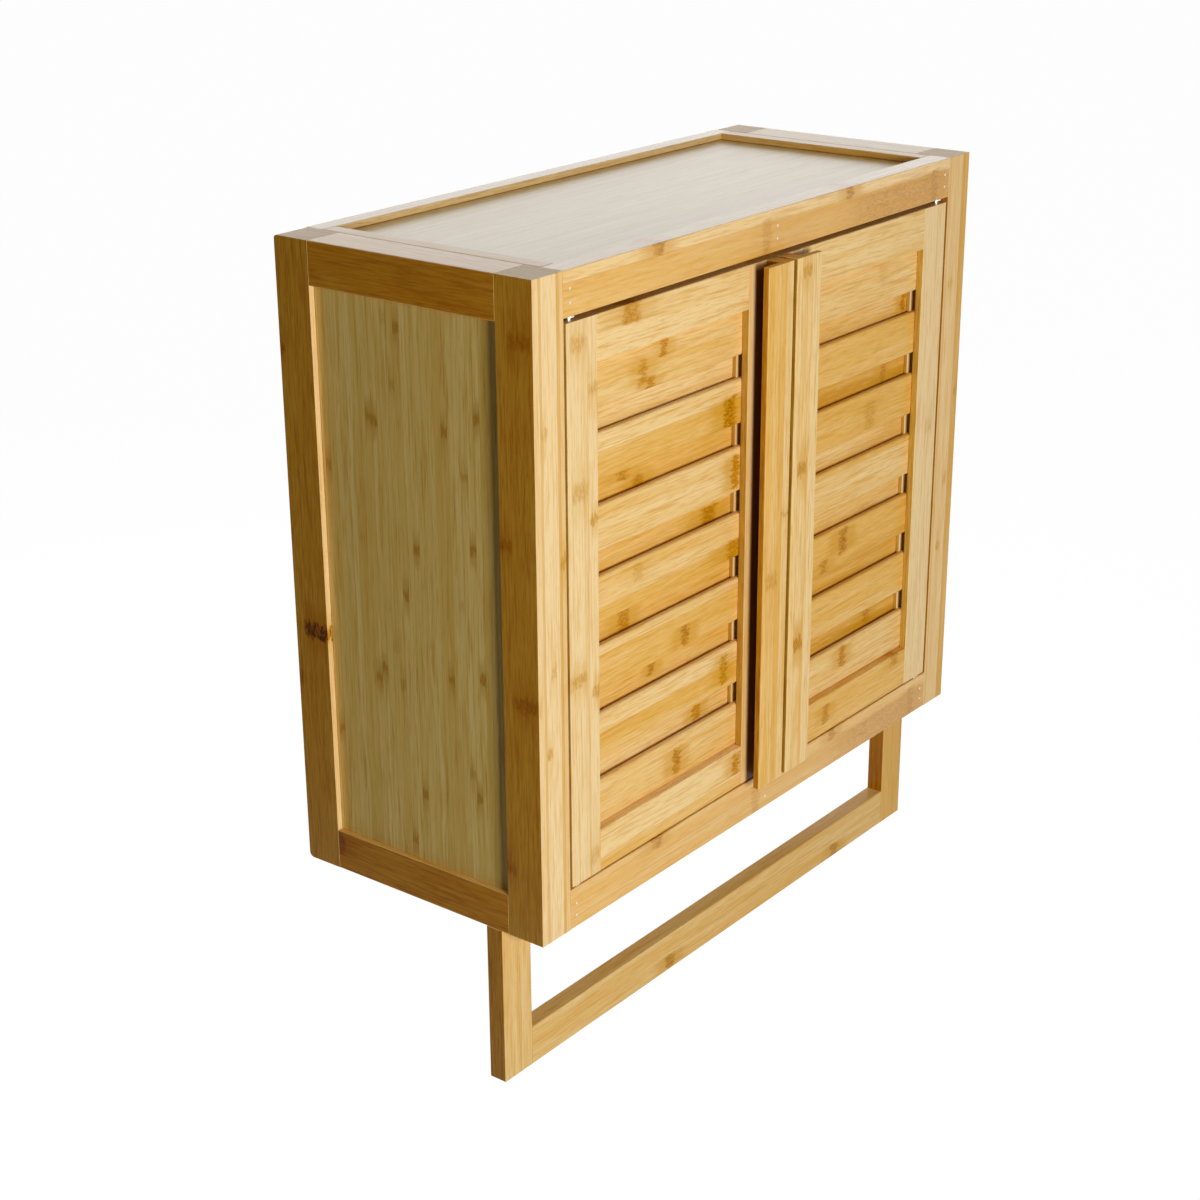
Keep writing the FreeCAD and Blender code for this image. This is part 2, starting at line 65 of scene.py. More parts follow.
Tree = bpy.types.NodeTree
Node = bpy.types.Node
Socket = bpy.types.NodeSocket
Source = Node | Socket | float
Colour = tuple[float, float, float, float]
Point = tuple[float, float, float]
Span = tuple[float, float]
Links = dict[int | str, object]


class Axis(Enum):
    """A direction of the cabinet's frame."""

    X = 0
    Y = 1
    Z = 2


class Side(Enum):
    """The left or the right half, seen from the front."""

    LEFT = "left"
    RIGHT = "right"


class Level(Enum):
    """The cabinet's top or bottom."""

    TOP = "top"
    BOTTOM = "bottom"


class Slot(Enum):
    """The record's material slots."""

    BAMBOO = "bamboo"
    PANEL = "bamboo_panel"
    SLAT = "bamboo_slat"
    STEEL = "steel"
    MAGNET = "magnet"


def linear(code: str) -> Colour:
    """Turn an sRGB hex colour into linear light.

    Args:
        code: the colour as #RRGGBB.

    Returns:
        Red, green, blue and alpha.
    """
    parts = [int(code[start:start + 2], 16) / 255 for start in (1, 3, 5)]
    red, green, blue = [
        part / 12.92 if part <= 0.04045 else ((part + 0.055) / 1.055) ** 2.4 for part in parts
    ]
    return red, green, blue, 1.0


def add(tree: Tree, kind: str, links: Links | None = None, **settings: object) -> Node:
    """Add a node with its settings and links.

    Args:
        tree: the node tree that gets the node.
        kind: the node's type without its ShaderNode prefix.
        links: socket name or number to a plain value, a socket, or a node whose first output feeds it.
        settings: the node's own properties.

    Returns:
        The new node.
    """
    node = tree.nodes.new(f"ShaderNode{kind}")
    for name, setting in settings.items():
        setattr(node, name, setting)
    for name, source in (links or {}).items():
        if isinstance(source, Node):
            source = next(output for output in source.outputs if output.enabled)
        if isinstance(source, Socket):
            tree.links.new(source, node.inputs[name])
        else:
            node.inputs[name].default_value = source
    return node


def calc(tree: Tree, operation: str, *inputs: Source) -> Node:
    """Add a Math node with its inputs in order."""
    return add(tree, "Math", dict(enumerate(inputs)), operation=operation)


def vector_calc(tree: Tree, operation: str, *inputs: object) -> Node:
    """Add a Vector Math node with its inputs in order."""
    return add(tree, "VectorMath", dict(enumerate(inputs)), operation=operation)


def ramp(tree: Tree, source: Source, span: Span, onto: Span = (0.0, 1.0), smooth: bool = False) -> Node:
    """Map a span of a value onto another span, and hold the ends outside it.

    Args:
        tree: the node tree that gets the node.
        source: what gives the value.
        span: the value at the start and at the end.
        onto: what they become.
        smooth: whether the ends are eased.

    Returns:
        The new node.
    """
    links = {0: source, 1: span[0], 2: span[1], 3: onto[0], 4: onto[1]}
    return add(tree, "MapRange", links, interpolation_type="SMOOTHSTEP" if smooth else "LINEAR")


def blend(tree: Tree, share: Node, first: Node | Colour, second: Node | Colour, mode: str = "MIX") -> Node:
    """Lay one colour over another.

    Args:
        tree: the node tree that gets the node.
        share: what gives the second colour's share.
        first: the colour below.
        second: the colour on top.
        mode: the node's way of blending.

    Returns:
        The new node.
    """
    links = {MIX_FACTOR: share, MIX_FIRST: first, MIX_SECOND: second}
    return add(tree, "Mix", links, data_type="RGBA", blend_type=mode)


def empty_tree(owner: bpy.types.Material | bpy.types.World) -> Tree:
    """Give a material or world a node tree with nothing in it.

    Args:
        owner: the material or world.

    Returns:
        Its tree.
    """
    owner.use_nodes = True
    owner.node_tree.nodes.clear()
    return owner.node_tree


def draw_of(name: str) -> random.Random:
    """A seeded source of random numbers that belongs to one piece."""
    return random.Random(zlib.crc32(name.encode()))


@dataclass(frozen=True)
class Tone:
    """Colours of one batch of bamboo, as sRGB hex."""

    pale: str
    golden: str
    streak: str
    honey: str
    knuckle: str


# Natural bamboo pressed into boards: straw yellow with fine fibre streaks and caramel knuckles
NATURAL = Tone(pale="#F6D596", golden="#E9B453", streak="#D6982F", honey="#D19408", knuckle="#B27000")
# The palest strips, which go into posts and stiles
STRAW = Tone(pale="#F4D69E", golden="#EABD74", streak="#E0AC5A", honey="#D79F28", knuckle="#B47A14")
# Strips of an older batch, which go into the towel frame
TAWNY = Tone(pale="#E9C98A", golden="#DDAB52", streak="#CF983A", honey="#C48C0C", knuckle="#A06600")
# Thin sheet of narrow upright strips, tan and less yellow than the boards
SHEET = Tone(pale="#E6CA7E", golden="#D2AA4E", streak="#CAA047", honey="#B8862C", knuckle="#966214")


@dataclass(frozen=True)
class Knuckle:
    """A joint of the cane that shows in a strip, in mm from the middle of its piece.

    Attributes:
        along: place along the grain.
        across: place across the strips.
        reach: half its length along the grain.
        spread: half its width across the strips.
        depth: how dark it is: 1 for a full knuckle, more for a burnt one.
        inward: place square to both.
        thick: half its size that way.
    """

    along: float
    across: float
    reach: float = 4.5
    spread: float = 8.0
    depth: float = 0.8
    inward: float = 0.0
    thick: float = FAR_MM


@dataclass(frozen=True)
class Strip:
    """A strip of cane with a place of its own.

    Attributes:
        start: where it begins, in mm across from the piece's middle.
        tone: how deep its colour is, from 0 for pale over 1 for golden to 1.5 for honey.
    """

    start: float
    tone: float


@dataclass(frozen=True)
class Figure:
    """How strongly the cane's marks show: broad bands, streaks, fine fibres and flecks in knuckles."""

    bands: float = 1.4
    streaks: float = 0.45
    fibres: float = 0.45
    flecks: float = 0.85


SHEET_FIGURE = Figure(bands=1.2, streaks=0.7, fibres=0.4, flecks=0.3)
LEVEL_FIGURE = Figure(bands=0.6, streaks=0.3, fibres=0.3)


@dataclass(frozen=True)
class PaintedShade:
    """Painted shade: a dark colour laid inside a box of the cabinet's frame, in metres, with a soft edge
    around it, where deep shadow falls.
    """

    low: Point
    high: Point
    soft: float

    # Colour of the painted shade
    SHADE_COLOUR = "#764E24"

    def lay(self, tree: Tree, place: Socket, colour: Node) -> Node:
        """Paint shade into a colour inside the box.

        Args:
            tree: the material's tree.
            place: Object coordinates.
            colour: the node that gives the colour so far.

        Returns:
            The node that gives the colour with the painted shade.
        """
        middle = (Vector(self.low) + Vector(self.high)) / 2
        half = (Vector(self.high) - Vector(self.low)) / 2
        off = vector_calc(tree, "SUBTRACT", place, middle)
        away = vector_calc(tree, "ABSOLUTE", off)
        outside = vector_calc(tree, "SUBTRACT", away, half)
        farthest = vector_calc(tree, "MAXIMUM", outside, (0, 0, 0))
        distance = vector_calc(tree, "LENGTH", farthest)
        share = ramp(tree, distance.outputs["Value"], (0.0, self.soft), (1.0, 0.0))
        return blend(tree, share, colour, linear(self.SHADE_COLOUR))


@dataclass(frozen=True)
class Place:
    """Where a point of a piece lies, as sockets of its material.

    Attributes:
        object: Object coordinates.
        centred: mm from the piece's middle, along, across and inward.
        drawn: the same with each strip shifted along the grain, so that strips don't match.
        seam: mm from the nearest glue line.
        tone: how deep each strip's colour is.
        chance: a random number for each strip.
        end: how far the face looks along the grain.
        side: how far the face looks across the strips.
    """

    object: Socket
    centred: Socket
    drawn: Socket
    seam: Socket
    tone: Socket
    chance: Socket
    end: Socket
    side: Socket


@dataclass(frozen=True)
class Bamboo:
    """Laminated bamboo, planed, sanded and lacquered to a satin sheen.

    Strips of cane lie side by side with their fibres along the grain. Each strip has its own tone,
    fine streaks and brown knuckles, and the lacquer gives a soft reflection over all of them.

    Attributes:
        grain: direction of the fibres.
        stack: direction in which the strips lie side by side.
        tone: its colours.
        strip_mm: width of one strip, where they are even.
        contrast: how far even strips differ in tone.
        seam: how dark the glue line between two strips is.
        start_mm: where one strip begins, from the piece's middle, or anywhere.
        strips: strips with a place of their own, in place of even ones.
        knuckles: joints with a place of their own.
        pitch_mm: spacing of the other joints along each strip, or none.
        figure: how strongly its marks show.
        painted_shades: boxes where shade is painted dark into its colour.
        side_shade_tints: painted shade on the faces square to the stack, which face the cabinet's sides:
            the colours they are darkened with, between and in streaks.
        lacquer: weight of the clear coat.
        slot: the record's slot; not used.
    """

    grain: Axis
    stack: Axis
    tone: Tone = NATURAL
    strip_mm: float = 20.0
    contrast: float = 0.8
    seam: float = 0.2
    start_mm: float | None = None
    strips: tuple[Strip, ...] = ()
    knuckles: tuple[Knuckle, ...] = ()
    pitch_mm: float | None = None
    figure: Figure = Figure()
    painted_shades: tuple[PaintedShade, ...] = ()
    side_shade_tints: tuple[str, str] = (WHITE, WHITE)
    lacquer: float = 0.25
    slot: Slot = Slot.BAMBOO

    # Length and width of the figure's patches in mm
    FIBRE_MM = (13.0, 0.9)
    STREAK_MM = (42.0, 1.7)
    BAND_MM = (180.0, 8.0)
    FRINGE_MM = (9.0, 2.2)
    FLECK_MM = (3.2, 1.2)
    SWAY_PATCH_MM = (60.0, 9.0)
    # How far the fibres sway, and how far a knuckle's fringe reaches along and across them
    SWAY_MM = 1.5
    FRINGE_REACH_MM = 7.0
    FRINGE_SPREAD_MM = 2.5
    # How far strips are shifted along the grain, and how many rows of random numbers there are
    SHIFT_MM = 1000.0
    SEED_ROWS = 100
    # Where a knuckle is gone and where it is full, along, across and inward, in its half sizes
    KNUCKLE_FADE = ((1.75, 0.45), (1.2, 0.75), (1.3, 0.6))
    # Length of the warm tone around a knuckle, in knuckles
    HALO = 3.5
    # Joints that recur: their half length, its full part, depth, and joints to a pitch
    JOINT_REACH_MM = 7.0
    JOINT_CORE = 0.2
    JOINT_DEPTH = 0.85
    PITCH_RATES = (0.7, 1.25)
    # Spans of a noise or a random number, each over what it is mapped onto
    CHANCE_SPAN = (0.1, 0.85)
    CHANCE_DEPTH = (0.05, 0.9)
    FLECK_SPAN = (0.38, 0.62)
    FLECK_DEPTH = (0.3, 1.1)
    STREAK_SPAN = (0.3, 0.7)
    ROUGHNESS = (0.45, 0.6)
    COARSE_SPAN = (0.85, 1.25)
    # How squarely a face has to look one way to be toned as end grain or given the painted side shade: not
    # at all and in full
    FACING = (0.7, 1.0)
    PALE_FIBRES = 0.6
    GLUE_LINE_MM = 0.7
    BURNT = "#5A3404"
    KNUCKLE_RELIEF = 0.2
    RELIEF_M = 0.00006

    def material(self, node: str) -> bpy.types.Material:
        """Make the finish for one piece.

        Args:
            node: the piece's CAD node, which places the figure.

        Returns:
            The material.
        """
        made = bpy.data.materials.new(f"satin_lacquered_bamboo_{node}")
        tree = empty_tree(made)
        place = self._place(tree, node)
        sway = self._drawn_noise(tree, place.drawn, self.SWAY_PATCH_MM)
        bent = self._moved(tree, place.drawn, sway, (0.0, self.SWAY_MM, 0.0))
        fibres, streaks, bands = [
            self._drawn_noise(tree, bent, size) for size in (self.FIBRE_MM, self.STREAK_MM, self.BAND_MM)
        ]
        masks = self._joints(tree, place)
        colour = self._colour(tree, place, (fibres, streaks, bands), masks)
        self._shade(tree, colour, streaks, masks[0])
        return made

    def _place(self, tree: Tree, node: str) -> Place:
        """Find each point's place along the grain and its strip.

        Args:
            tree: the material's tree.
            node: the piece's CAD node.

        Returns:
            The sockets that give the place.
        """
        draw = draw_of(node)
        low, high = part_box(node)
        other = next(axis for axis in Axis if axis not in (self.grain, self.stack))
        order = (self.grain, self.stack, other)
        middle = [-(low[axis.value] + high[axis.value]) / 2 * PER_METRE for axis in order]
        coords = add(tree, "TexCoord")
        parts = add(tree, "SeparateXYZ", {0: coords.outputs["Object"]})
        along, across, inward = [parts.outputs[axis.value] for axis in order]
        turned = add(tree, "CombineXYZ", {0: along, 1: across, 2: inward})
        centred = vector_calc(tree, "MULTIPLY_ADD", turned, (PER_METRE,) * 3, middle)
        local = add(tree, "SeparateXYZ", {0: centred})
        offset = draw.random() if self.start_mm is None else -self.start_mm / self.strip_mm
        lay = self._own_strips if self.strips else self._even_strips
        number, seam, tone = lay(tree, local.outputs[1], offset)
        seed = add(tree, "CombineXYZ", {0: number, 1: draw.uniform(0, self.SEED_ROWS)})
        lot = add(tree, "TexWhiteNoise", {"Vector": seed}, noise_dimensions="2D")
        lots = add(tree, "SeparateColor", {0: lot.outputs["Color"]})
        if tone is None:
            tone = calc(tree, "MULTIPLY_ADD", lots.outputs[1], self.contrast, (1 - self.contrast) / 2)
        shifted = calc(tree, "MULTIPLY_ADD", lots.outputs[0], self.SHIFT_MM, local.outputs[0])
        drawn = add(tree, "CombineXYZ", {0: shifted, 1: local.outputs[1], 2: local.outputs[2]})
        facing = add(tree, "SeparateXYZ", {0: coords.outputs["Normal"]})
        end, side = [
            calc(tree, "ABSOLUTE", facing.outputs[axis.value]).outputs[0]
            for axis in (self.grain, self.stack)
        ]
        return Place(
            object=coords.outputs["Object"],
            centred=centred.outputs[0],
            drawn=drawn.outputs[0],
            seam=seam.outputs[0],
            tone=tone.outputs[0],
            chance=lots.outputs[2],
            end=end,
            side=side,
        )

    def _even_strips(self, tree: Tree, across: Socket, offset: float) -> tuple[Node, Node, None]:
        """Lay strips of one width side by side.

        Args:
            tree: the material's tree.
            across: the place across the strips in mm.
            offset: shift of the strips, in strips.

        Returns:
            The nodes that give the strip's number and the distance to its glue line, and no tone.
        """
        count = calc(tree, "MULTIPLY_ADD", across, 1 / self.strip_mm, offset)
        number = calc(tree, "FLOOR", count)
        back = calc(tree, "PINGPONG", count, 0.5)
        return number, calc(tree, "MULTIPLY", back, self.strip_mm), None

    def _own_strips(self, tree: Tree, across: Socket, offset: float) -> tuple[Node, Node, Node]:
        """Lay the strips that have places of their own.

        Args:
            tree: the material's tree.
            across: the place across the strips in mm.
            offset: number of the first strip.

        Returns:
            The nodes that give the strip's number, the distance to its glue line and its tone.
        """
        number: Source = offset
        seam: Source = FAR_MM
        tone: Source = 0.0
        shade = 0.0
        for strip in self.strips:
            off = calc(tree, "SUBTRACT", across, strip.start)
            passed = calc(tree, "GREATER_THAN", off, 0.0)
            away = calc(tree, "ABSOLUTE", off)
            number = calc(tree, "ADD", number, passed)
            seam = calc(tree, "MINIMUM", seam, away)
            tone = calc(tree, "MULTIPLY_ADD", passed, strip.tone - shade, tone)
            shade = strip.tone
        return number, seam, tone

    def _drawn_noise(self, tree: Tree, place: Node | Socket, size: Span) -> Node:
        """Noise drawn out along the grain.

        Args:
            tree: the material's tree.
            place: the place in mm.
            size: length and width of its patches in mm.

        Returns:
            The noise node.
        """
        length, width = size
        scaled = vector_calc(tree, "MULTIPLY", place, (1 / length, 1 / width, 1 / width))
        return add(tree, "TexNoise", {"Vector": scaled, "Scale": 1.0, "Detail": 2.0, "Roughness": 0.55})

    def _moved(self, tree: Tree, place: Socket, noise: Node, reach: Point) -> Node:
        """Move a place to and fro by a noise.

        Args:
            tree: the material's tree.
            place: the place in mm.
            noise: the noise, around one half.
            reach: the largest movement each way in mm.

        Returns:
            The node that gives the moved place.
        """
        wave = ramp(tree, noise, (0.0, 1.0), (-1.0, 1.0))
        step = add(tree, "VectorMath", {0: reach, "Scale": wave}, operation="SCALE")
        return vector_calc(tree, "ADD", place, step)

    def _joints(self, tree: Tree, place: Place) -> tuple[Source, Node, Source]:
        """Masks of the cane's knuckles, of the flecks in them and of the warm tone around them.

        Args:
            tree: the material's tree.
            place: sockets of the place.

        Returns:
            What gives the three masks: 0 for none, 1 for a full knuckle and more for a burnt one.
        """
        fringe = self._drawn_noise(tree, place.centred, self.FRINGE_MM)
        reach = (self.FRINGE_REACH_MM, self.FRINGE_SPREAD_MM, 0.0)
        ragged = self._moved(tree, place.centred, fringe, reach)
        core: Source = 0.0
        halo: Source = 0.0
        for knuckle in self.knuckles:
            spot = self._spot(tree, ragged, knuckle, 1.0, knuckle.depth)
            glow = self._spot(tree, ragged, knuckle, self.HALO, min(knuckle.depth, 1.0))
            core = calc(tree, "MAXIMUM", core, spot)
            halo = calc(tree, "MAXIMUM", halo, glow)
        if self.pitch_mm is not None:
            core, halo = self._repeated_joints(tree, place, fringe, (core, halo))
        patches = self._drawn_noise(tree, place.centred, self.FLECK_MM)
        broken = ramp(tree, patches, self.FLECK_SPAN, self.FLECK_DEPTH, smooth=True)
        return core, calc(tree, "MULTIPLY", core, broken), halo

    def _spot(self, tree: Tree, place: Node, knuckle: Knuckle, stretch: float, depth: float) -> Node:
        """Mask of one knuckle: a block across its strip that fades along the fibres.

        Args:
            tree: the material's tree.
            place: the place in mm.
            knuckle: the knuckle.
            stretch: how many times longer than the knuckle the block is.
            depth: the mask's value in the middle.

        Returns:
            The node that gives the mask.
        """
        middle = (knuckle.along, knuckle.across, knuckle.inward)
        size = (knuckle.reach * stretch, knuckle.spread, knuckle.thick)
        off = vector_calc(tree, "SUBTRACT", place, middle)
        scaled = vector_calc(tree, "DIVIDE", off, size)
        parts = add(tree, "SeparateXYZ", {0: vector_calc(tree, "ABSOLUTE", scaled)})
        mask: Source = depth
        for output, fade in zip(parts.outputs, self.KNUCKLE_FADE):
            mask = calc(tree, "MULTIPLY", mask, ramp(tree, output, fade, smooth=True))
        return mask

    def _repeated_joints(
        self, tree: Tree, place: Place, fringe: Node, masks: tuple[Source, Source]
    ) -> tuple[Node, Node]:
        """Add the joints that recur along each strip to the masks.

        Args:
            tree: the material's tree.
            place: sockets of the place.
            fringe: short noise along the fibres.
            masks: the masks of knuckles and of the tone around them so far.

        Returns:
            The nodes that give the fuller masks.
        """
        ragged = self._moved(tree, place.drawn, fringe, (self.FRINGE_REACH_MM, 0.0, 0.0))
        along = add(tree, "SeparateXYZ", {0: ragged})
        slow, fast = [share / self.pitch_mm for share in self.PITCH_RATES]
        rate = ramp(tree, place.chance, (0.0, 1.0), (slow, fast))
        turns = calc(tree, "MULTIPLY", along.outputs[0], rate)
        cycle = calc(tree, "FRACT", turns)
        apart = calc(tree, "SUBTRACT", cycle, 0.5)
        away = calc(tree, "ABSOLUTE", apart)
        chosen = ramp(tree, place.chance, self.CHANCE_SPAN, self.CHANCE_DEPTH)
        fuller = []
        for mask, stretch in zip(masks, (1.0, self.HALO)):
            reach = self.JOINT_REACH_MM * stretch / self.pitch_mm
            spot = ramp(tree, away, (reach, reach * self.JOINT_CORE), (0.0, self.JOINT_DEPTH), smooth=True)
            kept = calc(tree, "MULTIPLY", spot, chosen)
            fuller.append(calc(tree, "MAXIMUM", mask, kept))
        return fuller[0], fuller[1]

    def _colour(
        self,
        tree: Tree,
        place: Place,
        figure: tuple[Node, Node, Node],
        masks: tuple[Source, Node, Source],
    ) -> Node:
        """Lay the tones of bands, streaks, fibres, glue lines, knuckles and end grain over each other,
        then the painted shade of the side faces and of the shaded boxes.

        Args:
            tree: the material's tree.
            place: sockets of the place.
            figure: noises of the fibres, streaks and bands.
            masks: masks of the knuckles, of their flecks and of the tone around them.

        Returns:
            The node that gives the colour.
        """
        fibres, streaks, bands = figure
        joints, flecks, halo = masks
        swing = self.figure.bands
        band = calc(tree, "MULTIPLY_ADD", bands, swing, -swing / 2)
        ground = calc(tree, "ADD", band, place.tone)
        # What each layer follows, the span over which it comes in, its full amount and its tint
        layers = (
            (ground, (0.0, 1.0), 1.0, self.tone.golden),
            (ground, (1.0, 1.6), 1.0, self.tone.honey),
            (streaks, (0.45, 0.68), self.figure.streaks, self.tone.streak),
            (streaks, (0.62, 0.76), self.figure.streaks, self.tone.honey),
            (fibres, (0.5, 0.72), self.figure.fibres, self.tone.streak),
            (fibres, (0.48, 0.28), self.figure.fibres * self.PALE_FIBRES, self.tone.pale),
            (place.seam, (self.GLUE_LINE_MM, 0.0), self.seam, self.tone.knuckle),
            (halo, (0.0, 1.0), 0.6, self.tone.honey),
            (joints, (0.0, 1.0), 0.95, self.tone.honey),
            (flecks, (0.0, 1.0), self.figure.flecks, self.tone.knuckle),
            (flecks, (0.9, 1.4), 0.85, self.BURNT),
            (place.end, self.FACING, 0.55, self.tone.streak),
        )
        colour: Colour | Node = linear(self.tone.pale)
        for source, span, amount, tint in layers:
            share = ramp(tree, source, span, (0.0, amount), smooth=True)
            colour = blend(tree, share, colour, linear(tint))
        # Painted shade: faces square to the stack, towards the sides, are darkened as if in shade
        facing = ramp(tree, place.side, self.FACING)
        between, within = [linear(tint) for tint in self.side_shade_tints]
        coarse = calc(tree, "ADD", streaks, fibres)
        side_shade_colour = blend(tree, ramp(tree, coarse, self.COARSE_SPAN), between, within)
        colour = blend(tree, facing, colour, side_shade_colour, mode="MULTIPLY")
        # Painted shade, laid in boxes where deep shadow falls, such as the finger gaps and the grooves
        for shade_box in self.painted_shades:
            colour = shade_box.lay(tree, place.object, colour)
        return colour

    def _shade(self, tree: Tree, colour: Node, streaks: Node, joints: Source) -> None:
        """Lacquer the wood: a matt base with fine relief, under a thin clear coat.

        Args:
            tree: the material's tree.
            colour: the node that gives the colour.
            streaks: noise along the fibres.
            joints: mask of the knuckles.
        """
        sheen = ramp(tree, streaks, self.STREAK_SPAN, self.ROUGHNESS)
        height = calc(tree, "MULTIPLY_ADD", joints, self.KNUCKLE_RELIEF, streaks)
        relief = add(tree, "Bump", {"Height": height, "Strength": 0.4, "Distance": self.RELIEF_M})
        shader = add(
            tree,
            "BsdfPrincipled",
            {
                "Base Color": colour,
                "Roughness": sheen,
                "Normal": relief,
                "IOR": 1.45,
                "Specular IOR Level": 0.1,
                "Coat Weight": self.lacquer,
                "Coat Roughness": 0.25,
            },
        )
        add(tree, "OutputMaterial", {"Surface": shader})


@dataclass(frozen=True)
class Metal:
    """Plated steel, drawn or stamped, with fine drawing lines that soften its reflections.

    Attributes:
        title: name of the finish.
        tint: its colour as sRGB hex.
        roughness: middle value of its roughness.
        line_mm: spacing of the drawing lines, drawn coarse enough to show.
        slot: the record's slot; not used.
    """

    title: str
    tint: str
    roughness: float
    line_mm: float
    slot: Slot

    # How far the roughness differs, and the dull tint between the bright lines
    WEAR_SPAN = (0.3, 0.7)
    WEAR = 0.08
    DULL_SPAN = (0.45, 0.75)
    DULL_SHARE = 0.3
    DULL = "#8F8C86"
    RELIEF_M = 0.00002

    def material(self, node: str) -> bpy.types.Material:
        """Make the finish for one piece.

        Args:
            node: the piece's CAD node.

        Returns:
            The material.
        """
        made = bpy.data.materials.new(f"{self.title}_{node}")
        tree = empty_tree(made)
        place = add(tree, "TexCoord").outputs["Object"]
        lines = add(tree, "TexNoise", {"Vector": place, "Scale": PER_METRE / self.line_mm, "Detail": 3.0})
        worn = ramp(tree, lines, self.WEAR_SPAN, (self.roughness - self.WEAR, self.roughness + self.WEAR))
        dull = ramp(tree, lines, self.DULL_SPAN, (0.0, self.DULL_SHARE))
        colour = blend(tree, dull, linear(self.tint), linear(self.DULL))
        relief = add(tree, "Bump", {"Height": lines, "Strength": 0.3, "Distance": self.RELIEF_M})
        shader = add(
            tree,
            "BsdfPrincipled",
            {"Base Color": colour, "Roughness": worn, "Normal": relief, "Metallic": 1.0},
        )
        add(tree, "OutputMaterial", {"Surface": shader})
        return made


# Thin sheet of the sides, with upright strips
SIDE_SHEET = Bamboo(
    Axis.Z,
    Axis.Y,
    SHEET,
    strip_mm=5.5,
    contrast=0.3,
    seam=0.15,
    pitch_mm=210.0,
    figure=SHEET_FIGURE,
    slot=Slot.PANEL,
)
# The same sheet across the back, and a plainer one with more lacquer in the top and bottom
BACK_SHEET = replace(SIDE_SHEET, stack=Axis.X)
LEVEL_SHEET = replace(SIDE_SHEET, grain=Axis.X, seam=0.1, pitch_mm=None, figure=LEVEL_FIGURE, lacquer=1.0)
# Zinc plate over steel wire: bright, slightly uneven
BRIGHT_ZINC = Metal("bright_zinc_plated_steel", "#E9E6DF", 0.3, 2.0, Slot.STEEL)
# Nickel plate over a sintered magnet: warmer and smoother
NICKEL = Metal("nickel_plated_magnet", "#D8D2C4", 0.22, 3.0, Slot.MAGNET)


class EdgePlace(Enum):
    """Where an edge of a piece lies."""

    BODY = "body"
    FRONT = "front"
    END = "end"


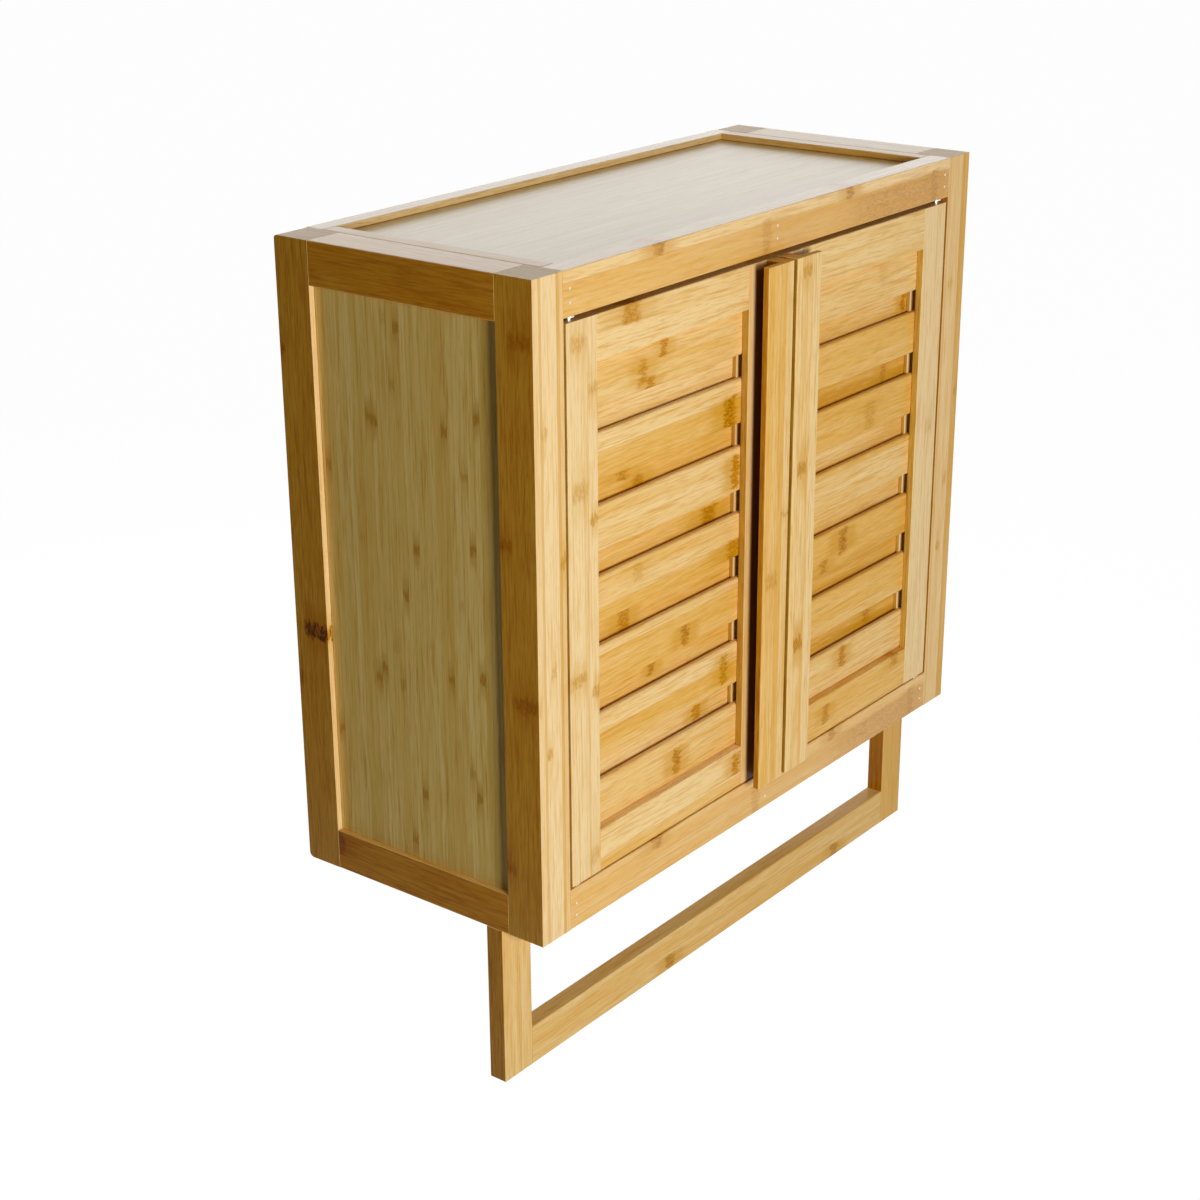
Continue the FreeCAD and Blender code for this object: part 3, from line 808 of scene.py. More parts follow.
@dataclass(frozen=True)
class Easing:
    """How the edges of a piece were eased with sandpaper, in mm.

    Attributes:
        long: on edges along the piece.
        ends: on the edges of its two ends.
        front: on edges of its front face, where they are rounder than the others.
    """

    long: float = 0.7
    ends: float = 0.5
    front: float | None = None

    MERGE_M = 1e-6
    FLAT_RAD = math.radians(1.0)
    SHARP_RAD = math.radians(35.0)
    SEGMENTS = 3
    WIDE_FACE_M2 = 2e-5
    TIE_STEP_M = 0.003

    def copy_of(self, node: str, grain: Axis) -> bpy.types.Object:
        """Make an eased copy of a CAD node.

        Args:
            node: the CAD node's name.
            grain: the piece's long direction.

        Returns:
            The new object, at the origin.
        """
        low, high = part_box(node)
        solid = bmesh.new()
        solid.from_mesh(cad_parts[node].data)
        bmesh.ops.remove_doubles(solid, verts=solid.verts, dist=self.MERGE_M)
        bmesh.ops.dissolve_limit(
            solid, angle_limit=self.FLAT_RAD, verts=solid.verts, edges=solid.edges, delimit=set()
        )
        self._clear_corners(solid)
        for face in solid.faces:
            face.smooth = True
        for width, places in self._steps():
            edges = [edge for edge in solid.edges if self._place_of(edge, grain, (low, high)) in places]
            if not edges:
                continue
            rounded = bmesh.ops.bevel(
                solid,
                geom=edges,
                offset=width * MM,
                offset_type="OFFSET",
                segments=self.SEGMENTS,
                profile=0.5,
                affect="EDGES",
                material=-1,
                clamp_overlap=False,
            )
            for face in rounded["faces"]:
                face.smooth = False
        for edge in solid.edges:
            edge.smooth = edge.calc_face_angle(0.0) < self.SHARP_RAD
        mesh = bpy.data.meshes.new(node)
        solid.to_mesh(mesh)
        solid.free()
        piece = bpy.data.objects.new(f"{node}_finished", mesh)
        bpy.context.scene.collection.objects.link(piece)
        return piece

    def _clear_corners(self, solid: bmesh.types.BMesh) -> None:
        """Move flat edges, which tie a hole to its face's outline, a short way off the corners.

        Args:
            solid: the merged copy, which is changed.
        """
        tie = self._tie_at_corner(solid)
        while tie is not None:
            edge, corner, outline, face = tie
            far = edge.other_vert(corner)
            share = min(0.5, self.TIE_STEP_M / outline.calc_length())
            _, beside = bmesh.utils.edge_split(outline, corner, share)
            bmesh.utils.face_split(face, beside, far)
            bmesh.ops.dissolve_edges(solid, edges=[edge], use_verts=False)
            tie = self._tie_at_corner(solid)

    def _tie_at_corner(
        self, solid: bmesh.types.BMesh
    ) -> tuple[bmesh.types.BMEdge, bmesh.types.BMVert, bmesh.types.BMEdge, bmesh.types.BMFace] | None:
        """Find a flat edge that ends at a corner.

        Args:
            solid: the merged copy.

        Returns:
            The edge, its corner, and the sharp edge and face next to it there, or None.
        """
        for edge in solid.edges:
            if edge.calc_face_angle(self.SHARP_RAD) >= self.FLAT_RAD:
                continue
            for corner in edge.verts:
                sharp = [near for near in corner.link_edges if near.calc_face_angle(0.0) >= self.SHARP_RAD]
                sharp.sort(key=lambda near: near.calc_length())
                for outline in sharp if len(sharp) > 2 else ():
                    for loop in corner.link_loops:
                        faces = (loop.face in edge.link_faces, loop.face in outline.link_faces)
                        if all(faces) and loop.is_convex:
                            return edge, corner, outline, loop.face
        return None

    def _steps(self) -> list[tuple[float, tuple[EdgePlace, ...]]]:
        """List the widths in the order of sanding.

        Returns:
            Each width in mm with the edges that get it, which meet in one corner.
        """
        last = (self.ends, (EdgePlace.END,))
        if self.front is None:
            return [(self.long, (EdgePlace.BODY, EdgePlace.FRONT)), last]
        return [(self.long, (EdgePlace.BODY,)), (self.front, (EdgePlace.FRONT,)), last]

    def _place_of(
        self, edge: bmesh.types.BMEdge, grain: Axis, box: tuple[Vector, Vector]
    ) -> EdgePlace | None:
        """Tell where an edge lies, if it is one to ease.

        Args:
            edge: the edge.
            grain: the piece's long direction.
            box: the piece's low and high corners.

        Returns:
            The place of a sharp edge between two wide faces, or None for any other edge.
        """
        if not edge.is_manifold or edge.calc_face_angle(0.0) < self.SHARP_RAD:
            return None
        if not edge.is_convex or min(face.calc_area() for face in edge.link_faces) < self.WIDE_FACE_M2:
            return None
        if any(self._lies_on(edge, grain, corner) for corner in box):
            return EdgePlace.END
        return EdgePlace.FRONT if self._lies_on(edge, Axis.Y, box[0]) else EdgePlace.BODY

    def _lies_on(self, edge: bmesh.types.BMEdge, axis: Axis, corner: Vector) -> bool:
        """Tell whether an edge lies on the box plane through a corner, square to an axis."""
        return all(abs(vert.co[axis.value] - corner[axis.value]) < self.MERGE_M for vert in edge.verts)


@dataclass(frozen=True)
class Member:
    """One piece: its CAD node, finish, long direction and eased edges."""

    node: str
    finish: Bamboo | Metal
    grain: Axis
    easing: Easing = Easing()


@dataclass
class SubAssembly:
    """Pieces that belong together and ride on one body.

    Attributes:
        body: the CAD body.
        pieces: the finished pieces by CAD node, filled in by build.
    """

    body: str = "cabinet"
    pieces: dict[str, bpy.types.Object] = field(default_factory=dict)

    def members(self) -> list[Member]:
        """List the pieces; each sub-assembly gives its own."""
        raise NotImplementedError

    def build(self) -> None:
        """Model every piece and seat it on the body, in place of its CAD node."""
        for member in self.members():
            piece = member.easing.copy_of(member.node, member.grain)
            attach(piece, self.body)
            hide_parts(member.node)
            self.pieces[member.node] = piece

    def dress(self) -> None:
        """Give every piece its finish and report it."""
        for member in self.members():
            piece = self.pieces[member.node]
            piece.data.materials.clear()
            piece.data.materials.append(member.finish.material(member.node))
            LOG.info("%s: %s faces on %s", piece.name, len(piece.data.polygons), self.body)


FLUSH = Easing(long=0.7, ends=0.25)
JOINED = Easing(long=0.4, ends=0.25)
SHEET_EDGES = Easing(long=0.3, ends=0.2)
ROUNDED = Easing(long=0.3, ends=0.2, front=1.8)

# Painted shade on the faces towards the cabinet's sides: darker, deeper caramel than the front, as these
# faces lie in shade
SIDE_SHADE = ("#CFAE4A", "#C09A3C")
# The same painted shade on the side frames' top rails, a little lighter
TOP_RAIL_SIDE_SHADE = ("#D6BA58", "#C8A548")
# Painted shade on the pull bars' outer edges, deeper still
BAR_SIDE_SHADE = ("#CAAE44", "#B4962E")
# Painted shade on the side edges of the stiles, lighter
STILE_SIDE_SHADE = ("#DECC7A", "#D0BA66")

# Spacing of the joints in boards whose knuckles have no place of their own
BOARD_PITCH_MM = 260.0

# Strips as they lie on the front
POST_STRIPS = {
    Side.LEFT: (Strip(-16, 0.3), Strip(-9, 0.9), Strip(-7.3, 0.0), Strip(8, 1.25), Strip(10.3, 0.6)),
    Side.RIGHT: (Strip(-16, 0.9), Strip(-12, 0.55), Strip(6, 1.5)),
}


@dataclass
class SideFrame(SubAssembly):
    """One side of the cabinet: two posts, two rails and a thin panel of narrow strips."""

    side: Side = Side.LEFT
    rail_strip: float = 15.0
    front_post_knuckles: tuple[Knuckle, ...] = (
        Knuckle(along=187, across=-15, reach=5, spread=4, depth=0.6, inward=-4, thick=10),
        Knuckle(along=54, across=-15, reach=4, spread=4, depth=0.6, inward=10, thick=6),
        Knuckle(along=-54, across=-15, reach=5, spread=4, depth=0.6, inward=-4, thick=11),
        Knuckle(along=-176, across=-15, reach=4, spread=4, depth=0.6, inward=11, thick=5),
        Knuckle(along=128, across=-6, reach=4, spread=3, depth=0.4),
        Knuckle(along=40, across=12, reach=5, spread=3, depth=0.6),
        Knuckle(along=-33, across=1, reach=5, spread=3, depth=0.4),
        Knuckle(along=-89, across=-4, reach=4, spread=3, depth=0.5),
    )
    rear_post_knuckles: tuple[Knuckle, ...] = (
        Knuckle(along=152, across=-15, reach=4, spread=4, depth=0.7, inward=13, thick=3),
        Knuckle(along=-47, across=-15, reach=4.5, spread=9, depth=2.4, inward=-4.5, thick=11),
        Knuckle(along=-86, across=-15, reach=5, spread=4, depth=0.6, inward=14, thick=3),
    )
    rail_knuckles: tuple[Knuckle, ...] = (
        Knuckle(along=-6, across=-15, reach=7, spread=4, depth=0.3, inward=2, thick=9),
        Knuckle(along=-40, across=-15, reach=9, spread=4, depth=0.2, inward=-7, thick=6),
    )
    foot_knuckles: tuple[Knuckle, ...] = (
        Knuckle(along=77, across=-15, reach=4, spread=6, depth=1.0, inward=5, thick=9),
    )

    def members(self) -> list[Member]:
        """List the posts, rails and panel.

        Returns:
            The side's pieces.
        """
        name = self.side.value
        front_post, rear_post = [
            Bamboo(
                Axis.Z,
                Axis.X,
                STRAW,
                seam=0.3,
                strips=POST_STRIPS[self.side],
                knuckles=knuckles,
                side_shade_tints=SIDE_SHADE,
                lacquer=0.4,
            )
            for knuckles in (self.front_post_knuckles, self.rear_post_knuckles)
        ]
        rail = Bamboo(Axis.Y, Axis.X, strip_mm=self.rail_strip)
        top_rail = replace(rail, knuckles=self.rail_knuckles, side_shade_tints=TOP_RAIL_SIDE_SHADE, lacquer=0.8)
        bottom_rail = replace(rail, knuckles=self.foot_knuckles, side_shade_tints=SIDE_SHADE)
        return [
            Member(f"{name}_front_post", front_post, Axis.Z, JOINED),
            Member(f"{name}_rear_post", rear_post, Axis.Z, JOINED),
            Member(f"{name}_side_top_rail", top_rail, Axis.Y, FLUSH),
            Member(f"{name}_side_bottom_rail", bottom_rail, Axis.Y, FLUSH),
            Member(f"{name}_side_panel", SIDE_SHEET, Axis.Z, SHEET_EDGES),
        ]


FRONT_RAIL_STRIPS = {
    Level.TOP: (Strip(-16, 0.85), Strip(7, 0.25)),
    Level.BOTTOM: (Strip(-16, 0.75), Strip(2, 0.8)),
}
BACK_RAIL_STRIPS = (Strip(-16, 0.6), Strip(-1, 0.15))


@dataclass
class LevelFrame(SubAssembly):
    """The top or bottom: front and back rails, strips between them and a thin panel."""

    level: Level = Level.TOP
    cross_strip: float = 19.0
    front_knuckles: tuple[Knuckle, ...] = (
        Knuckle(along=-137, across=12, reach=5, spread=6, depth=0.8),
        Knuckle(along=93, across=12, reach=4, spread=6, depth=0.9),
        Knuckle(along=-13, across=-3, reach=5, spread=13, depth=0.45),
        Knuckle(along=213, across=-3, reach=5, spread=12, depth=0.8),
        Knuckle(along=170, across=-5, reach=70, spread=12, depth=0.5),
    )

    def members(self) -> list[Member]:
        """List the rails, strips and panel.

        Returns:
            The pieces of the top or bottom.
        """
        name = self.level.value
        front = Bamboo(
            Axis.X,
            Axis.Z,
            strips=FRONT_RAIL_STRIPS[self.level],
            knuckles=self.front_knuckles,
            lacquer=1.0,
        )
        back = Bamboo(Axis.X, Axis.Z, strips=BACK_RAIL_STRIPS, pitch_mm=BOARD_PITCH_MM, lacquer=1.0)
        strip = Bamboo(Axis.Y, Axis.X, strip_mm=self.cross_strip, pitch_mm=BOARD_PITCH_MM, lacquer=0.8)
        rails = [
            Member(f"{name}_front_rail", front, Axis.X, FLUSH),
            Member(f"{name}_back_rail", back, Axis.X, FLUSH),
        ]
        strips = [
            Member(f"{name}_{place}_strip", strip, Axis.Y, FLUSH) for place in ("left", "middle", "right")
        ]
        return rails + strips + [Member(f"{name}_panel", LEVEL_SHEET, Axis.X, SHEET_EDGES)]


# From one rear slat to the next
REAR_SLAT_PITCH_MM = 49.2


def rear_strips(*tones: float) -> tuple[Strip, ...]:
    """One strip for each rear slat, with their tones from the lowest up."""
    lowest = -len(tones) / 2 * REAR_SLAT_PITCH_MM
    return tuple(Strip(lowest + number * REAR_SLAT_PITCH_MM, tone) for number, tone in enumerate(tones))


LEFT_DOOR_STRIPS = {
    "hinge_stile": (Strip(-16, 0.0), Strip(1, 0.3), Strip(5, 0.0)),
    "top_rail": (Strip(-16, 0.1), Strip(5, 0.25)),
    "bottom_rail": (Strip(-16, 0.7), Strip(-6.5, 0.05)),
    "front_slat_1": (Strip(-17, 0.55), Strip(8, 0.45)),
    "front_slat_2": (Strip(-17, 0.6), Strip(-9, 1.05), Strip(2.5, 0.35)),
    "front_slat_3": (Strip(-17, 0.8), Strip(9.5, 0.35)),
    "front_slat_4": (Strip(-17, 0.95), Strip(-6, 0.5)),
    "front_slat_5": (Strip(-17, 0.3), Strip(2, 0.4)),
    "front_slat_6": (Strip(-17, 0.8), Strip(3.5, 0.2)),
    "front_slat_7": (Strip(-17, 0.4), Strip(7, 0.6)),
    "rear_slats": rear_strips(0.5, 0.8, 0.9, 0.8, 0.95, 0.35),
    "pull_bar": (Strip(-16, 0.65), Strip(0, 0.8), Strip(6.5, 0.4)),
}
RIGHT_DOOR_STRIPS = {
    "hinge_stile": (Strip(-16, 0.0), Strip(4, 0.1)),
    "top_rail": (Strip(-16, 0.35), Strip(3, 0.3)),
    "bottom_rail": (Strip(-16, 0.75), Strip(6, 0.8)),
    "front_slat_1": (Strip(-17, 0.4), Strip(-12, 0.5)),
    "front_slat_2": (Strip(-17, 0.6), Strip(-7, 0.85)),
    "front_slat_3": (Strip(-17, 1.15), Strip(-8.5, 0.85)),
    "front_slat_4": (Strip(-17, 0.4), Strip(12, 0.9)),
    "front_slat_5": (Strip(-17, 0.85), Strip(3, 0.95)),
    "front_slat_6": (Strip(-17, 0.75), Strip(4, 0.85)),
    "front_slat_7": (Strip(-17, 0.35), Strip(0, 0.4)),
    "rear_slats": rear_strips(1.35, 1.15, 0.6, 0.65, 1.4, 0.65),
    "pull_bar": (Strip(-16, 0.2), Strip(-8.5, 0.4), Strip(3.5, 0.0)),
}
LEFT_DOOR_KNUCKLES = {
    "hinge_stile": (
        Knuckle(along=180, across=-4, reach=5, spread=9, depth=0.4),
        Knuckle(along=148, across=10, reach=4, spread=5, depth=0.4),
        Knuckle(along=83, across=-3, reach=6, spread=9, depth=0.4),
        Knuckle(along=61, across=12, reach=3, spread=5, depth=0.6),
        Knuckle(along=-46, across=-6, reach=4, spread=9, depth=0.5),
        Knuckle(along=-60, across=12, reach=4, spread=4, depth=0.5),
        Knuckle(along=-180, across=10, reach=6, spread=6, depth=0.35),
    ),
    "top_rail": (Knuckle(along=-49, across=10, reach=9, spread=8, depth=0.6),),
    "bottom_rail": (Knuckle(along=77, across=4, reach=4, spread=9, depth=0.7),),
    "front_slat_1": (Knuckle(along=11, across=-2, reach=4, spread=10, depth=0.95),),
    "front_slat_2": (Knuckle(along=68, across=0, reach=4, spread=12, depth=0.7),),
    "front_slat_3": (Knuckle(along=20, across=-7, reach=4, spread=8, depth=1.0),),
    "front_slat_4": (
        Knuckle(along=80, across=-10, reach=9, spread=8, depth=0.8),
        Knuckle(along=-34, across=7, reach=5, spread=7, depth=0.35),
    ),
    "front_slat_5": (Knuckle(along=79, across=-1, reach=4, spread=13, depth=0.85),),
    "front_slat_6": (Knuckle(along=71, across=-6, reach=6, spread=12, depth=1.0),),
    "front_slat_7": (
        Knuckle(along=-6, across=9, reach=3.5, spread=7, depth=0.7),
        Knuckle(along=-29, across=-3, reach=4.5, spread=9, depth=0.6),
        Knuckle(along=-21, across=-15, reach=4.5, spread=7, depth=0.7),
    ),
    "rear_slats": (
        Knuckle(along=-42, across=77, reach=6, spread=6, depth=0.7),
        Knuckle(along=-25, across=66, reach=5, spread=6, depth=0.7),
        Knuckle(along=58, across=21, reach=8, spread=7, depth=0.9),
        Knuckle(along=-41, across=-27, reach=5, spread=8, depth=0.8),
        Knuckle(along=-9, across=-73, reach=3, spread=5, depth=0.9),
        Knuckle(along=45, across=-126, reach=4, spread=6, depth=0.8),
    ),
    "pull_bar": (
        Knuckle(along=-34, across=-5, reach=6, spread=8, depth=0.4),
        Knuckle(along=13, across=10, reach=2, spread=6, depth=0.4),
    ),
}
RIGHT_DOOR_KNUCKLES = {
    "hinge_stile": (Knuckle(along=20, across=4, reach=6, spread=6, depth=0.3),),
    "bottom_rail": (
        Knuckle(along=67, across=12, reach=5, spread=6, depth=0.6),
        Knuckle(along=-35, across=0, reach=4, spread=8, depth=0.7),
    ),
    "front_slat_1": (Knuckle(along=-4, across=5, reach=4, spread=9, depth=0.8),),
    "front_slat_3": (
        Knuckle(along=-9, across=4, reach=5, spread=10, depth=1.0),
        Knuckle(along=-35, across=-12, reach=5, spread=7, depth=0.8),
    ),
    "front_slat_5": (Knuckle(along=24, across=-2, reach=7, spread=12, depth=0.4),),
    "front_slat_7": (Knuckle(along=36, across=5, reach=5, spread=9, depth=0.25),),
    "rear_slats": (
        Knuckle(along=79, across=122, reach=3, spread=8, depth=0.8),
        Knuckle(along=53, across=72, reach=3, spread=7, depth=0.7),
        Knuckle(along=42, across=-124, reach=4, spread=7, depth=0.8),
    ),
    "pull_bar": (
        Knuckle(along=184, across=-3, reach=4, spread=6, depth=0.45),
        Knuckle(along=41, across=-3, reach=5, spread=6.5, depth=0.6),
        Knuckle(along=-94, across=-3, reach=5, spread=6.5, depth=0.8),
    ),
}


@dataclass
class Door(SubAssembly):
    """A louvred door: stiles, rails, slats in two layers, pull bar and strike plate."""

    side: Side = Side.LEFT
    knuckles: dict[str, tuple[Knuckle, ...]] = field(default_factory=dict)
    strips: dict[str, tuple[Strip, ...]] = field(default_factory=dict)
    slat_count: int = 7
    stile_strip: float = 20.0
    stile_start: float = -15.5
    # Painted shade of the finger gap and the stiles' grooves, in mm: its inset from the pull bar's free
    # edge, the lip's thickness, the soft edges of the gap's and the grooves' shade, and the grooves' depth
    lit_mm: float = 9.0
    lip_mm: float = 5.0
    soft_mm: float = 3.0
    edge_mm: float = 0.4
    groove_mm: float = 2.8

    def members(self) -> list[Member]:
        """List the door's pieces.

        Returns:
            Stiles, rails, slats, pull bar and strike plate.
        """
        stiles = [f"{place}_stile" for place in ("hinge", "meeting")]
        rails = [f"{place}_rail" for place in ("top", "bottom")]
        slats = [f"front_slat_{number}" for number in range(1, self.slat_count + 1)]
        listed = [Member(self._node(part), self._stile(part), Axis.Z, FLUSH) for part in stiles]
        for part in rails:
            listed.append(Member(self._node(part), self._board(part, Slot.BAMBOO), Axis.X, FLUSH))
        for part in slats:
            listed.append(Member(self._node(part), self._board(part, Slot.SLAT), Axis.X, ROUNDED))
        listed.append(Member(self._node("rear_slats"), self._board("rear_slats", Slot.SLAT), Axis.X))
        listed.append(Member(self._node("pull_bar"), self._bar("pull_bar"), Axis.Z))
        listed.append(Member(self._node("strike_plate"), BRIGHT_ZINC, Axis.X, SHEET_EDGES))
        return listed

    def _node(self, part: str) -> str:
        """The CAD node of one of this door's parts."""
        return f"{self.side.value}_door_{part}"

    def _stile(self, part: str) -> Bamboo:
        """Finish of an upright, from the palest strips.

        Args:
            part: the part's name on the door.

        Returns:
            The finish.
        """
        return Bamboo(
            Axis.Z,
            Axis.X,
            STRAW,
            strip_mm=self.stile_strip,
            contrast=0.35,
            start_mm=self.stile_start,
            strips=self.strips.get(part, ()),
            knuckles=self.knuckles.get(part, ()),
            painted_shades=(self._finger_gap_shade(), self._groove_shade(part)),
            side_shade_tints=STILE_SIDE_SHADE,
        )

    def _finger_gap_shade(self) -> PaintedShade:
        """The painted shade in the depth of the finger gap, between the pull bar's lip and the stile.

        Returns:
            The painted shade.
        """
        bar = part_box(self._node("pull_bar"))
        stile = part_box(self._node("meeting_stile"))
        inset = self.lit_mm * MM
        low_x, high_x = bar[0][0], bar[1][0]
        if self.side is Side.LEFT:
            low_x += inset
        else:
            high_x -= inset
        front = stile[0][1]
        lip_back = bar[0][1] + self.lip_mm * MM
        soft = self.soft_mm * MM
        return PaintedShade((low_x, lip_back, bar[0][2]), (high_x, front, bar[1][2] - 2 * soft), soft)

    def _groove_shade(self, part: str) -> PaintedShade:
        """The painted shade at the bottom of a stile's groove, which shows where no front slat fills it.

        Args:
            part: the part's name on the door.

        Returns:
            The painted shade.
        """
        stile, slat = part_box(self._node(part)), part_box(self._node("front_slat_1"))
        low = [max(ends) for ends in zip(stile[0], slat[0])]
        high = [min(ends) for ends in zip(stile[1], slat[1])]
        depth = self.groove_mm * MM
        if stile[0][0] > slat[0][0]:
            low[0] = high[0] - depth
        else:
            high[0] = low[0] + depth
        return PaintedShade((low[0], low[1], stile[0][2]), (high[0], high[1], stile[1][2]), self.edge_mm * MM)

    def _board(self, part: str, slot: Slot) -> Bamboo:
        """Finish of a rail or slat.

        Args:
            part: the part's name on the door.
            slot: the record's slot.

        Returns:
            The finish.
        """
        return Bamboo(
            Axis.X,
            Axis.Z,
            seam=0.1,
            strips=self.strips.get(part, ()),
            knuckles=self.knuckles.get(part, ()),
            slot=slot,
        )

    def _bar(self, part: str) -> Bamboo:
        """Finish of the pull bar, whose strips differ clearly.

        Args:
            part: the part's name on the door.

        Returns:
            The finish.
        """
        return Bamboo(
            Axis.Z,
            Axis.X,
            strips=self.strips.get(part, ()),
            knuckles=self.knuckles.get(part, ()),
            painted_shades=(self._finger_gap_shade(),),
            side_shade_tints=BAR_SIDE_SHADE,
        )


LEG_STRIPS = {Side.LEFT: (Strip(-16, 0.4), Strip(2, 0.5)), Side.RIGHT: (Strip(-16, 1.0), Strip(6, 1.1))}


@dataclass
class TowelFrame(SubAssembly):
    """Two legs and a bar under the front of the cabinet."""

    bar_strip: float = 17.0
    bar_knuckles: tuple[Knuckle, ...] = (
        Knuckle(along=-71, across=-8, reach=5, spread=6, depth=0.8),
        Knuckle(along=160, across=-9, reach=5, spread=6, depth=0.7),
    )

    def members(self) -> list[Member]:
        """List the legs and the bar.

        Returns:
            The towel frame's pieces.
        """
        bar = Bamboo(
            Axis.X, Axis.Z, TAWNY, strip_mm=self.bar_strip, contrast=0.3, knuckles=self.bar_knuckles
        )
        legs = [Member(f"{side.value}_towel_leg", self._leg(side), Axis.Z) for side in Side]
        return legs + [Member("towel_bar", bar, Axis.X, FLUSH)]

    def _leg(self, side: Side) -> Bamboo:
        """Finish of a leg, deeper at the right."""
        return Bamboo(Axis.Z, Axis.X, TAWNY, strips=LEG_STRIPS[side], side_shade_tints=SIDE_SHADE)


@dataclass
class Interior(SubAssembly):
    """What the doors hide: back panel, shelf on pegs, catch block and its magnets."""

    shelf_strip: float = 20.0

    def members(self) -> list[Member]:
        """List the inner pieces.

        Returns:
            The pieces behind the doors.
        """
        board = Bamboo(Axis.X, Axis.Y, strip_mm=self.shelf_strip, pitch_mm=BOARD_PITCH_MM)
        return [
            Member("back_panel", BACK_SHEET, Axis.Z, SHEET_EDGES),
            Member("shelf", board, Axis.X),
            Member("shelf_pegs", board, Axis.X, SHEET_EDGES),
            Member("catch_block", board, Axis.X),
            Member("catch_magnets", NICKEL, Axis.Y, SHEET_EDGES),
        ]


@dataclass
class Fixings(SubAssembly):
    """Door pivots and the nails of the front rails."""

    def members(self) -> list[Member]:
        """List the pins and nails.

        Returns:
            The metal pieces.
        """
        return [
            Member("pivot_pins", BRIGHT_ZINC, Axis.Z, SHEET_EDGES),
            Member("rail_nails", BRIGHT_ZINC, Axis.Y, SHEET_EDGES),
        ]


@dataclass(frozen=True)
class Lamp:
    """A soft box: its place, what it faces, its size in metres and its power in watts."""

    name: str
    place: Point
    aim: Point
    size: Span
    power: float

    def build(self) -> None:
        """Hang the lamp."""
        light = bpy.data.lights.new(self.name, "AREA")
        light.shape = "RECTANGLE"
        light.size, light.size_y = self.size
        light.energy = self.power
        holder = bpy.data.objects.new(self.name, light)
        holder.location = self.place
        holder.rotation_mode = "QUATERNION"
        towards = Vector(self.aim) - Vector(self.place)
        holder.rotation_quaternion = towards.to_track_quat("-Z", "Y")
        holder.visible_camera = False
        bpy.context.scene.collection.objects.link(holder)


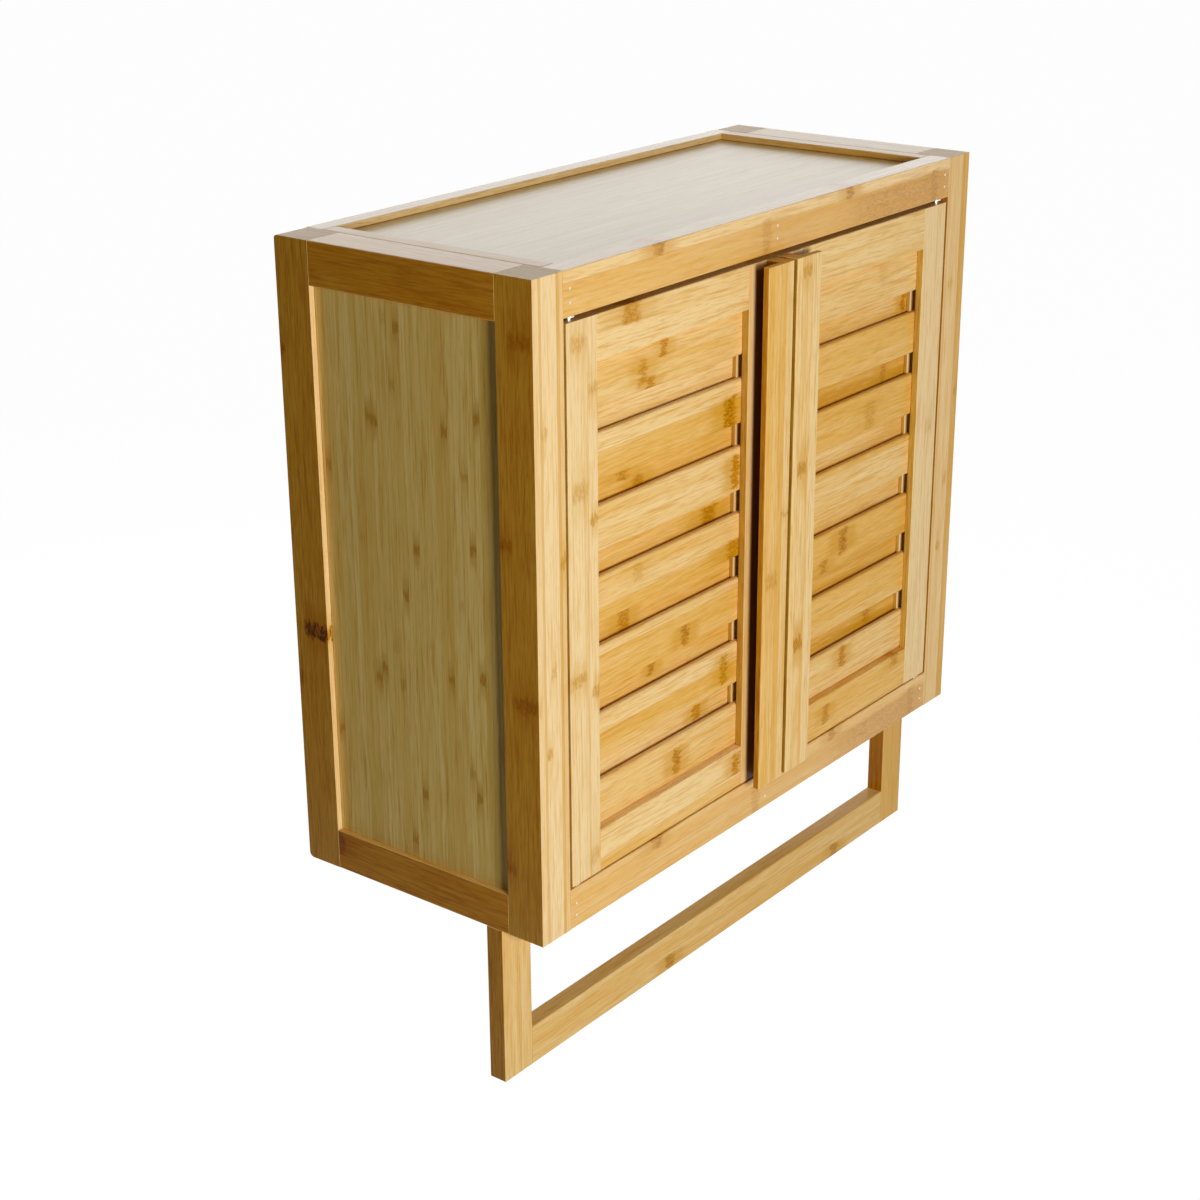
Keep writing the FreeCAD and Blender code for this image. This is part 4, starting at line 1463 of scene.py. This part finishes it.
@dataclass
class Studio:
    """Pale floor well below the hung cabinet, a white surround and soft lamps."""

    floor_z: float = -1.3
    floor_size: float = 60.0
    floor_tint: str = "#F4F3F1"
    ambient: float = 0.12
    white: float = 1.06
    floor_glow: float = 0.92
    flag_place: Point = (-1.35, 1.0, -0.42)
    flag_size: Span = (3.0, 1.74)
    flag_tint: str = "#1E1A16"
    lamps: tuple[Lamp, ...] = (
        Lamp("front_soft_box", (-0.97, -2.03, 0.1), (0.0, -0.22, -0.2), (0.55, 0.55), 33.0),
        Lamp("right_soft_box", (2.7, 1.95, 0.75), (0.0, -0.1, 0.0), (3.2, 1.8), 12.0),
        Lamp("rear_soft_box", (0.3, 2.8, 0.5), (0.0, 0.0, -0.2), (1.2, 1.2), 20.0),
    )

    def build(self) -> None:
        """Set the stage."""
        for lamp in self.lamps:
            lamp.build()
        self._floor()
        self._flag()
        self._surround()

    def _sheet(self, name: str, size: Span, place: Matrix) -> bpy.types.Object:
        """Stand a flat rectangle on the stage.

        Args:
            name: its name.
            size: its two sides in metres.
            place: where it stands.

        Returns:
            The rectangle.
        """
        flat = bmesh.new()
        shape = place @ Matrix.Diagonal((size[0], size[1], 1.0, 1.0))
        bmesh.ops.create_grid(flat, x_segments=1, y_segments=1, size=0.5, matrix=shape)
        mesh = bpy.data.meshes.new(name)
        flat.to_mesh(mesh)
        flat.free()
        sheet = bpy.data.objects.new(name, mesh)
        bpy.context.scene.collection.objects.link(sheet)
        return sheet

    def _seen(self, tree: Tree) -> Node:
        """A node that is 1 where the background is looked at, directly or in a reflection.

        Args:
            tree: the node tree that gets it.

        Returns:
            The node.
        """
        path = add(tree, "LightPath")
        seen = calc(tree, "MAXIMUM", path.outputs["Is Camera Ray"], path.outputs["Is Glossy Ray"])
        return calc(tree, "MAXIMUM", seen, path.outputs["Is Transmission Ray"])

    def _floor(self) -> None:
        """Lay the floor: matt and pale, and nearly white where it is looked at."""
        place = Matrix.Translation((0, 0, self.floor_z))
        floor = self._sheet("studio_floor", (self.floor_size, self.floor_size), place)
        paint = bpy.data.materials.new("matt_studio_paper")
        tree = empty_tree(paint)
        paper = add(tree, "BsdfDiffuse", {"Color": linear(self.floor_tint)})
        glow = add(tree, "Emission", {"Color": linear(WHITE), "Strength": self.white})
        share = calc(tree, "MULTIPLY", self._seen(tree), self.floor_glow)
        mixed = add(tree, "MixShader", {0: share, 1: paper, 2: glow})
        add(tree, "OutputMaterial", {"Surface": mixed})
        floor.data.materials.append(paint)

    def _flag(self) -> None:
        """Stand a dark cloth at the left, out of sight, which keeps glare off the shaded side."""
        place = Matrix.Translation(self.flag_place) @ Matrix.Rotation(QUARTER_TURN, 4, "Z")
        upright = place @ Matrix.Rotation(QUARTER_TURN, 4, "X")
        flag = self._sheet("dark_flag", self.flag_size, upright)
        flag.visible_camera = False
        cloth = bpy.data.materials.new("black_felt")
        tree = empty_tree(cloth)
        felt = add(tree, "BsdfDiffuse", {"Color": linear(self.flag_tint)})
        add(tree, "OutputMaterial", {"Surface": felt})
        flag.data.materials.append(cloth)

    def _surround(self) -> None:
        """White all round where it is looked at, and an even, weaker light elsewhere."""
        world = bpy.data.worlds.new("studio_surround")
        tree = empty_tree(world)
        strength = ramp(tree, self._seen(tree), (0.0, 1.0), (self.ambient, self.white))
        surround = add(tree, "Background", {"Color": linear(WHITE), "Strength": strength})
        add(tree, "OutputWorld", {"Surface": surround})
        bpy.context.scene.world = world


@dataclass(frozen=True)
class Viewpoint:
    """The camera: in front, to the left and a little above, looking down at the cabinet."""

    place: Point = (-1.28188, -1.06263, 0.32804)
    forward: Point = (0.73421, 0.57357, -0.36324)
    right: Point = (0.61372, -0.78950, -0.00616)
    lens_mm: float = 67.566
    sensor_mm: float = 36.0

    def build(self) -> None:
        """Place the camera and make it the scene's."""
        data = bpy.data.cameras.new("viewpoint")
        data.lens = self.lens_mm
        data.sensor_width = self.sensor_mm
        data.sensor_fit = "HORIZONTAL"
        forward = Vector(self.forward).normalized()
        right = Vector(self.right).normalized()
        up = right.cross(forward)
        turn = Matrix((right, up, -forward)).transposed().to_4x4()
        camera = bpy.data.objects.new("viewpoint", data)
        camera.matrix_world = Matrix.Translation(self.place) @ turn
        bpy.context.scene.collection.objects.link(camera)
        bpy.context.scene.camera = camera


def main() -> None:
    """Build the cabinet's sub-assemblies in order, then the studio and the camera."""
    logging.basicConfig(level=logging.INFO, format="%(name)s %(message)s")
    bpy.context.scene.view_settings.view_transform = "Standard"
    Viewpoint().build()
    assemblies: list[SubAssembly] = [SideFrame(side=side) for side in Side]
    assemblies += [LevelFrame(level=level) for level in Level]
    assemblies += [Interior(), Fixings(), TowelFrame()]
    assemblies += [
        Door("left_door", side=Side.LEFT, knuckles=LEFT_DOOR_KNUCKLES, strips=LEFT_DOOR_STRIPS),
        Door("right_door", side=Side.RIGHT, knuckles=RIGHT_DOOR_KNUCKLES, strips=RIGHT_DOOR_STRIPS),
    ]
    for assembly in assemblies:
        assembly.build()
        assembly.dress()
    Studio().build()


if __name__ == "__main__":
    main()
